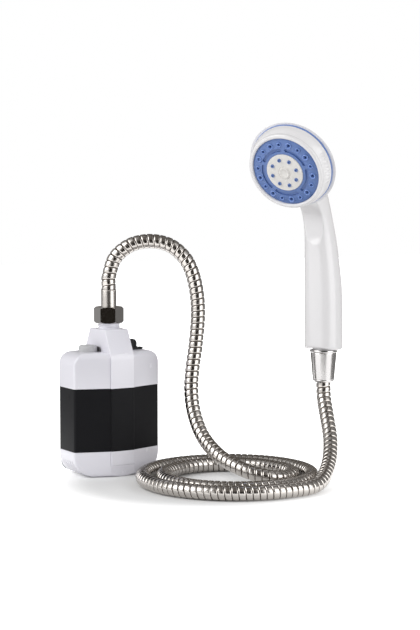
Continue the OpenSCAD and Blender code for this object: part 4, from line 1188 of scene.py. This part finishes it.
ferrule_profile = [(3, 146.2), (9.0, 146.2), (9.2, 146.4), (9.2, 148.0), (9.0, 148.2), (7.0, 148.3),
                   (7.0, 169.3)]
ferrule_profile += arc((6.6, 170.2), 0.6, -60, 80, 8) + [(6.2, 171), (3.8, 171), (3.8, 175), (3, 175)]
ferrule = turned("ferrule", ferrule_profile, CASE_PLACE, 128, True)
finished(mark_all(soften(ferrule, 50), "satin", 1.0), "pump", "fitting_chrome", "pump_ferrule")

# %% [markdown]
# ## Cone nut
# The nut under the handle has two plain collars and a fine diamond knurl between them. The turned cone is
# dense, and Geometry Nodes press two crossing sets of grooves into it. The height and angle of each point
# say how far it goes in.

# %% Cone nut
SELECT = joints["spray_select"]
FACE_AXIS = Vector(SELECT["axis"])
HEAD_TURN = Matrix.Rotation(math.atan2(FACE_AXIS.x, -FACE_AXIS.y), 4, "Z")
HEAD_TILT = Matrix.Rotation(math.pi / 2 + math.asin(-FACE_AXIS.z), 4, "X")
HANDSET_PLACE = Matrix.Translation(HANDSET) @ HEAD_TURN @ CASE_PLACE
HEAD_PLACE = Matrix.Translation(SELECT["pos_m"]) @ HEAD_TURN @ HEAD_TILT @ CASE_PLACE
KNURL_LOW = -27.2
KNURL_HIGH = -3.1
KNURL_LOW_R = 9.85
KNURL_HIGH_R = 12.0
KNURL_COUNT = 54
KNURL_PITCH = 1.7
KNURL_DEPTH = 0.018
KNURL_GROOVE = 0.34
KNURL_MARGIN = 0.1
CONE_STEPS = 120
CONE_SIDES = 432


def ramp(tree, value, low, high):
    """Rises smoothly from 0 to 1 between two values, or falls when low is the larger."""
    step = add_node(tree, "ShaderNodeMapRange", interpolation_type="SMOOTHSTEP")
    for name, end in (("From Min", low), ("From Max", high)):
        if isinstance(end, (int, float)):
            step.inputs[name].default_value = end
        else:
            wire(tree, (end, step.inputs[name]))
    wire(tree, (value, step.inputs["Value"]))
    return step.outputs["Result"]


def angle_and_height(tree):
    """The angle about Z, in turns, and the height of each point."""
    place = add_node(tree, "GeometryNodeInputPosition")
    parts = add_node(tree, "ShaderNodeSeparateXYZ")
    wire(tree, (place.outputs["Position"], parts.inputs["Vector"]))
    angle = number(tree, "ARCTAN2", parts.outputs["Y"], parts.outputs["X"])
    return number(tree, "DIVIDE", angle, 2 * math.pi), parts.outputs["Z"]


def knurl_tree():
    """Presses a diamond knurl into the faces between two heights."""
    tree, given, made = geometry_tree("diamond_knurl", Int=["Count"], Float=["Pitch", "Depth", "Low", "High"])
    turn, height = angle_and_height(tree)
    share = number(tree, "MULTIPLY", turn, given.outputs["Count"])
    rise = number(tree, "DIVIDE", height, given.outputs["Pitch"])
    one_way = number(tree, "PINGPONG", number(tree, "ADD", share, rise), 0.5)
    other_way = number(tree, "PINGPONG", number(tree, "SUBTRACT", share, rise), 0.5)
    groove = ramp(tree, number(tree, "MINIMUM", one_way, other_way), KNURL_GROOVE, 0.0)
    inside = number(tree, "MULTIPLY", number(tree, "GREATER_THAN", height, given.outputs["Low"]),
                    number(tree, "LESS_THAN", height, given.outputs["High"]))
    depth = number(tree, "MULTIPLY", number(tree, "MULTIPLY", groove, inside), given.outputs["Depth"])
    moved = pushed(tree, given.outputs["Geometry"], number(tree, "MULTIPLY", depth, -1.0))
    return end_tree(tree, given, made, moved)


def reshaped(piece, tree, values, place):
    """Runs a Geometry Nodes tree on a piece in its local frame, and then puts the piece in its place."""
    finish_modifiers(run_tree(piece, tree, values))
    piece.data.transform(place)
    return piece


cone_profile = [(7.2, -30), (8.3, -30), (8.9, -29.8), (9.5, -28.9), (9.75, -28.2), (9.8, -27.7),
                (9.6, -27.45)]
cone_profile += zip(spread_evenly(KNURL_LOW_R, KNURL_HIGH_R, CONE_STEPS),
                    spread_evenly(KNURL_LOW, KNURL_HIGH, CONE_STEPS))
cone_profile += [(11.7, -2.75), (11.7, -2.5), (12.2, -2.2), (12.45, -1.9), (12.5, -1.5), (12.5, -0.4),
                 (12.3, 0), (10.4, 0), (10.4, -14.1), (7.2, -14.1)]
cone = turned("cone_collar", cone_profile, sides=CONE_SIDES, closed=True)
reshaped(cone, knurl_tree(), {
    "Count": KNURL_COUNT, "Pitch": KNURL_PITCH, "Depth": KNURL_DEPTH, "Low": KNURL_LOW + KNURL_MARGIN,
    "High": KNURL_HIGH - KNURL_MARGIN, "Material": FINISHES["fitting_chrome"]}, HANDSET_PLACE)
finished(mark_all(soften(cone, 60), "satin", 0.5), "handset", "fitting_chrome", "cone_nut")

# %% [markdown]
# ## Handset shell
# The handle is lofted through oval sections that lean more and more towards the head, and the head is a
# shallow dome. A voxel remesh melts the two into one skin, as a moulded part has. The rim, the hollow and
# the bore are cut after that, so that they stay crisp.

# %% Handset shell
# Height, how far forward, half width, half depth, lean in degrees
HANDLE_SECTIONS = [(2, 0, 17, 16.5, 0), (30, 0.5, 16.9, 16.5, 0), (58, 1.7, 16.5, 16, 2),
                   (80, 4.5, 15.3, 15, 6), (96, 6.9, 14.2, 14.2, 10), (115, 11.7, 12.9, 13, 16),
                   (130, 18.2, 12.5, 13.2, 20), (142, 27, 12.8, 14.7, 26), (153, 40, 13, 16, 34),
                   (158, 60.8, 13, 14, 47)]
# Height and inset of the rings that make the hollow underside and the soft edge of the foot
FOOT_RINGS = [(4.5, 5.5), (4.2, 3.4), (1.2, 2.9), (0.3, 2.4), (0, 1.7), (0.2, 0.8), (0.8, 0.2)]
HANDLE_SIDES = 96
HANDLE_POWER = 0.86
FOOT_ARCH = 2.2
FOOT_FADE = 28
SCOOP_SPOT = (0, -55.8, 107)
SCOOP_R = 36
SCOOP_ARC = 48
SCOOP_HALF = 27
DOME_R = 51.6
DOME_CENTRE = 17.4
DOME_WIDEN = 1.03
DOME_EDGE = [(38.8, -17.0), (39.7, -15.9), (40, -15.2), (40, -12.5)]
SHELL_Z = -15.2
HEAD_WALL = 2.5
MELT_MM = 0.75
RELAX_STEPS = 14
OPENING = 60
STUB_LOW = -10
STUB_TOP = 8
BORE_TOP = 60


def bar_profile(radius, low, high):
    """The profile of a plain round bar."""
    return [(0, low), (radius, low), (radius, high), (0, high)]


def swollen(value):
    """A share of a circle's sine or cosine that makes the oval a little squarer."""
    return math.copysign(abs(value) ** HANDLE_POWER, value)


def handle_ring(section, inset=0.0):
    """One oval ring of the handle; the lowest rings arch up at the front and the back."""
    height, forward, wide, deep, lean = section
    tilt = math.radians(lean)
    ring = []
    for k in range(HANDLE_SIDES):
        angle = 2 * math.pi * k / HANDLE_SIDES
        across = swollen(math.cos(angle)) * (wide - inset)
        out = swollen(math.sin(angle)) * (deep - inset)
        arch_up = FOOT_ARCH * math.sin(angle) ** 2 * max(0, 1 - height / FOOT_FADE)
        ring.append((across, out * math.cos(tilt) - forward, height + arch_up + out * math.sin(tilt)))
    return ring


def handset_shell():
    """Handle, scoop, stub and dome in one skin, with the head opened at the front."""
    foot = HANDLE_SECTIONS[0]
    rings = [handle_ring((z, *foot[1:]), inset) for z, inset in FOOT_RINGS]
    rings += [handle_ring(section) for section in smooth_route([Vector(s) for s in HANDLE_SECTIONS], 6)]
    shell = loft("shower_handle", rings, HANDSET_PLACE)
    scoop = HANDSET_PLACE @ Matrix.Translation(SCOOP_SPOT) @ Matrix.Rotation(math.pi / 2, 4, "Y")
    scoop_profile = [(0, -SCOOP_HALF)] + arc((0, 0), SCOOP_R, -SCOOP_ARC, SCOOP_ARC, 24) + [(0, SCOOP_HALF)]
    carve(shell, turned("scoop", scoop_profile, scoop))
    dome = arc((0, DOME_CENTRE), DOME_R, -90, -44, 36) + DOME_EDGE
    carve(shell, turned("dome", dome, HEAD_PLACE @ Matrix.Diagonal((DOME_WIDEN, 1, 1, 1)), 160), "UNION")
    melt = shell.modifiers.new("melt", "REMESH")
    melt.mode = "VOXEL"
    melt.voxel_size = MELT_MM * MM
    relax = shell.modifiers.new("relax", "SMOOTH")
    relax.factor = 0.5
    relax.iterations = RELAX_STEPS
    finish_modifiers(shell)
    carve(shell, turned("opening", bar_profile(OPENING, SHELL_Z, SHELL_Z + OPENING), HEAD_PLACE))
    carve(shell, turned("hollow", arc((0, DOME_CENTRE), DOME_R - HEAD_WALL, -90, -40, 32), HEAD_PLACE))
    carve(shell, turned("stub", bar_profile(SPOUT_R, STUB_LOW, STUB_TOP), HANDSET_PLACE), "UNION")
    carve(shell, turned("bore", bar_profile(SPOUT_BORE, STUB_LOW - 1, BORE_TOP), HANDSET_PLACE))
    return shell


finished(soften(handset_shell(), 40), "handset", "handset_white", "handset_shell")
trim_profile = [(35.5, -15.5), (37.9, -15.5), (38.1, -15.3), (38.1, -14.0), (37.9, -13.8), (35.5, -13.8)]
trim = turned("trim_line", trim_profile, HEAD_PLACE, 192, True)
# The whole trim ring takes half the paler blue, as its own lighter tone
finished(mark_all(soften(trim), "rim", 0.5), "handset", "spray_blue", "trim_ring")

# %% [markdown]
# ## Selector ring
# The ring turns to change the spray. It has a bead round the plate, a hollow behind the bead, and a wide
# cone with soft finger lumps on two sides, which Geometry Nodes raise where the angle and the height allow.

# %% Selector ring
RING_POINTS = [(31.2, -0.5), (31.5, 0.0), (32.2, 0.4), (33.2, 0.45), (34.2, 0.15), (34.8, -0.5), (35.0, -1.4),
               (34.9, -2.3), (34.75, -3.2), (35.0, -4.1), (35.8, -5.6), (36.6, -7.4), (37.2, -9.4),
               (37.5, -11.4), (37.65, -12.8), (37.65, -13.5)]
RING_SIDES = 720
RING_TICK = [(-33.2, -0.3), (-31.4, -0.3), (-31.4, 0.3), (-33.2, 0.3)]


def lump_tree():
    """Raises rows of finger lumps on two opposite sides of a ring."""
    tree, given, made = geometry_tree("finger_lumps", Int=["Lumps in a turn"],
                                      Float=["Row turns", "Height", "Middle", "Reach"])
    turn, height = angle_and_height(tree)
    lumps = number(tree, "MULTIPLY", turn, given.outputs["Lumps in a turn"])
    swing = number(tree, "MULTIPLY", lumps, 2 * math.pi)
    wave = number(tree, "ABSOLUTE", number(tree, "SINE", number(tree, "MULTIPLY", swing, 0.5)))
    side = number(tree, "PINGPONG", turn, 0.25)
    half = number(tree, "MULTIPLY", given.outputs["Row turns"], 0.5)
    row = ramp(tree, side, number(tree, "MULTIPLY", half, 1.1), number(tree, "MULTIPLY", half, 0.9))
    off = number(tree, "ABSOLUTE", number(tree, "SUBTRACT", height, given.outputs["Middle"]))
    level = ramp(tree, off, given.outputs["Reach"], 0.0)
    bump = number(tree, "MULTIPLY", number(tree, "MULTIPLY", wave, row), level)
    raised = number(tree, "MULTIPLY", bump, given.outputs["Height"])
    return end_tree(tree, given, made, pushed(tree, given.outputs["Geometry"], raised))


ring_profile = [tuple(p) for p in smooth_route([Vector(p) for p in RING_POINTS], 3)]
ring_profile += [(37.5, -13.7), (35.6, -13.7), (35.6, -8.4), (31.2, -8.4), (31.2, -4.6), (28.2, -4.6),
                 (28.2, -3.05), (31.2, -3.05)]
ring = turned("selector", ring_profile, sides=RING_SIDES, closed=True)
reshaped(ring, lump_tree(), {"Lumps in a turn": 60, "Row turns": 42 / 360, "Height": 0.8, "Middle": -7.6,
                             "Reach": 4.2, "Material": FINISHES["handset_white"]}, HEAD_PLACE)
carve(ring, prism("tick", RING_TICK, 0.1, 1.5, HEAD_PLACE))
finished(soften(ring, 40), "spray_face", "handset_white", "selector_ring")

# %% [markdown]
# ## Spray plates
# The blue plate carries a row of collared nozzles, wide and narrow in turn, and five shallow arcs for the
# mist spray. The white centre carries eight jets round a cap. One Geometry Nodes tree sets all the rows: it
# makes the drills that open the holes, and then the nozzles that fill them.

# %% Nozzle rows
NOZZLE_COUNT = 18
NOZZLE_ROW = 25.94
NOZZLE_START = -8.5
NARROW = 0.78
JET_COUNT = 8
JET_ROW = 12.07
JET_START = 12.0


def row_tree():
    """Sets copies of one object round a circle, every second one narrower."""
    tree, given, made = geometry_tree("nozzle_row", Object=["Nozzle"], Int=["Count"],
                                      Float=["Radius", "Start", "Narrow"])
    circle = add_node(tree, "GeometryNodeMeshCircle")
    source = add_node(tree, "GeometryNodeObjectInfo")
    index = add_node(tree, "GeometryNodeInputIndex")
    size = add_node(tree, "ShaderNodeCombineXYZ", Z=1.0)
    copies = add_node(tree, "GeometryNodeInstanceOnPoints")
    swing = add_node(tree, "ShaderNodeCombineXYZ")
    turn = add_node(tree, "GeometryNodeTransform")
    every_second = number(tree, "MODULO", index.outputs["Index"], 2.0)
    change = number(tree, "SUBTRACT", given.outputs["Narrow"], 1.0)
    width = number(tree, "MULTIPLY_ADD", every_second, change, 1.0)
    feed(tree, given, ("Count", circle, "Vertices"), ("Radius", circle, "Radius"),
         ("Nozzle", source, "Object"), ("Start", swing, "Z"))
    wire(tree, (width, size.inputs["X"]), (width, size.inputs["Y"]),
         (source.outputs["Geometry"], copies.inputs["Instance"]),
         (size.outputs["Vector"], copies.inputs["Scale"]), (swing.outputs["Vector"], turn.inputs["Rotation"]))
    return end_tree(tree, given, made, through(tree, circle.outputs["Mesh"], copies, turn))


row_of_nozzles = row_tree()


def nozzle_row(name, profile, count, radius, start, narrow, slot, closed=True):
    """A row of turned nozzles in the frame of the head; an open profile makes solid drills."""
    nozzle = soften(turned("one_nozzle", profile, sides=32, closed=closed), 50)
    row = grown(name, row_of_nozzles, {
        "Nozzle": nozzle, "Count": count, "Radius": radius, "Start": math.radians(start), "Narrow": narrow,
        "Material": FINISHES[slot]})
    bpy.data.objects.remove(nozzle)
    row.data.transform(HEAD_PLACE)
    return row


print("nozzle row:", len(row_of_nozzles.nodes), "nodes in its tree")

# %% Blue plate
MIST_COUNT = 5
MIST_ROW = 21.0
MIST_HALF = 1.45
MIST_ARC = 56.0
MIST_START = 20
RIM_FROM = 0.35
RIM_SPAN = 0.5


def mist_arc(start):
    """A cutter for one shallow arc with round ends."""
    end = start + MIST_ARC
    tail, tip = arc((0, 0), MIST_ROW, start, end, 1)
    points = arc((0, 0), MIST_ROW + MIST_HALF, start, end, 14) + arc(tip, MIST_HALF, end, end + 180, 8)
    points += arc((0, 0), MIST_ROW - MIST_HALF, end, start, 14)
    points += arc(tail, MIST_HALF, start + 180, start + 360, 8)
    return prism("mist", points, -0.5, 3, HEAD_PLACE)


def mark_rims(piece):
    """Stores how far each point of the collars stands out of the plate; the rims get a lower roughness and a paler
    blue, which is a painted highlight.
    """
    rim = piece.data.attributes.new("rim", "FLOAT", "POINT")
    flat = HEAD_PLACE.inverted()
    for point, mark in zip(piece.data.vertices, rim.data):
        spot = flat @ point.co
        if math.hypot(spot.x, spot.y) > MIST_ROW + MIST_HALF:
            mark.value = min(max((spot.z - RIM_FROM) / RIM_SPAN, 0), 1)
    return piece


drill = bar_profile(1.9, -3.6, 2.5)
collar = [(1.86, -2.9), (1.86, 0.0), (2.8, 0.0), (2.75, 0.6), (2.5, 1.0), (2.15, 1.15), (1.85, 1.05),
          (1.65, 0.75), (1.45, 0.1), (1.0, -0.35), (0.9, -0.6), (0.85, -2.9)]
plate_profile = [(17.2, -3.0), (17.2, 1.0), (17.4, 1.15), (21, 0.85), (25, 0.35), (28.5, -0.35),
                 (30.7, -1.0), (31.05, -1.3), (31.05, -3.0)]
plate = turned("blue_plate", plate_profile, HEAD_PLACE, 144, True)
for i in range(MIST_COUNT):
    carve(plate, mist_arc(MIST_START + 360 / MIST_COUNT * i))
bevelled(plate, 0.22, 2, 60)
nozzles = (NOZZLE_COUNT, NOZZLE_ROW, NOZZLE_START, NARROW, "spray_blue")
carve(plate, nozzle_row("drills", drill, *nozzles, closed=False))
collars = nozzle_row("collars", collar, *nozzles)

# The collar rims are painted paler blue as a highlight, and they are glossier
finished(mark_rims(joined(soften(plate, 40), collars)), "spray_face", "spray_blue", "spray_plate")

# %% White centre
centre_profile = [(0, -4.6), (20.5, -4.6), (20.5, -3.05), (17.1, -3.05), (17.1, 1.5), (16.8, 1.8),
                  (12, 2.0), (6.1, 2.1), (5.9, 1.8), (5.5, 1.8), (5.3, 2.1), (0, 2.1)]
centre = turned("white_centre", centre_profile, HEAD_PLACE, 144)
wide_drill = bar_profile(1.7, -6, 3)
jet_row = (JET_COUNT, JET_ROW, JET_START, 1.0)
carve(centre, nozzle_row("jet_drills", wide_drill, *jet_row, "centre_white", closed=False))
finished(soften(centre, 40), "spray_face", "centre_white", "centre_plate")

jet = [(1.62, -4.6), (1.62, 2.5), (1.5, 2.95), (1.2, 3.2), (0.85, 3.2), (0.65, 3.05), (0.5, 2.4),
       (0.45, -4.6)]
jets = nozzle_row("jets", jet, *jet_row, "spray_blue")
finished(jets, "spray_face", "spray_blue", "centre_nozzles")

cap_profile = [(0, -1.1), (2.9, -1.1), (2.9, 1.9), (4.7, 1.9), (4.7, 2.6)]
cap_profile += arc((4.3, 2.6), 0.4, 10, 90, 6) + [(4.0, 3.0), (3.5, 2.6), (0, 2.6)]
cap = turned("centre_disc", cap_profile, HEAD_PLACE)
finished(soften(cap, 50), "spray_face", "centre_white", "centre_cap")
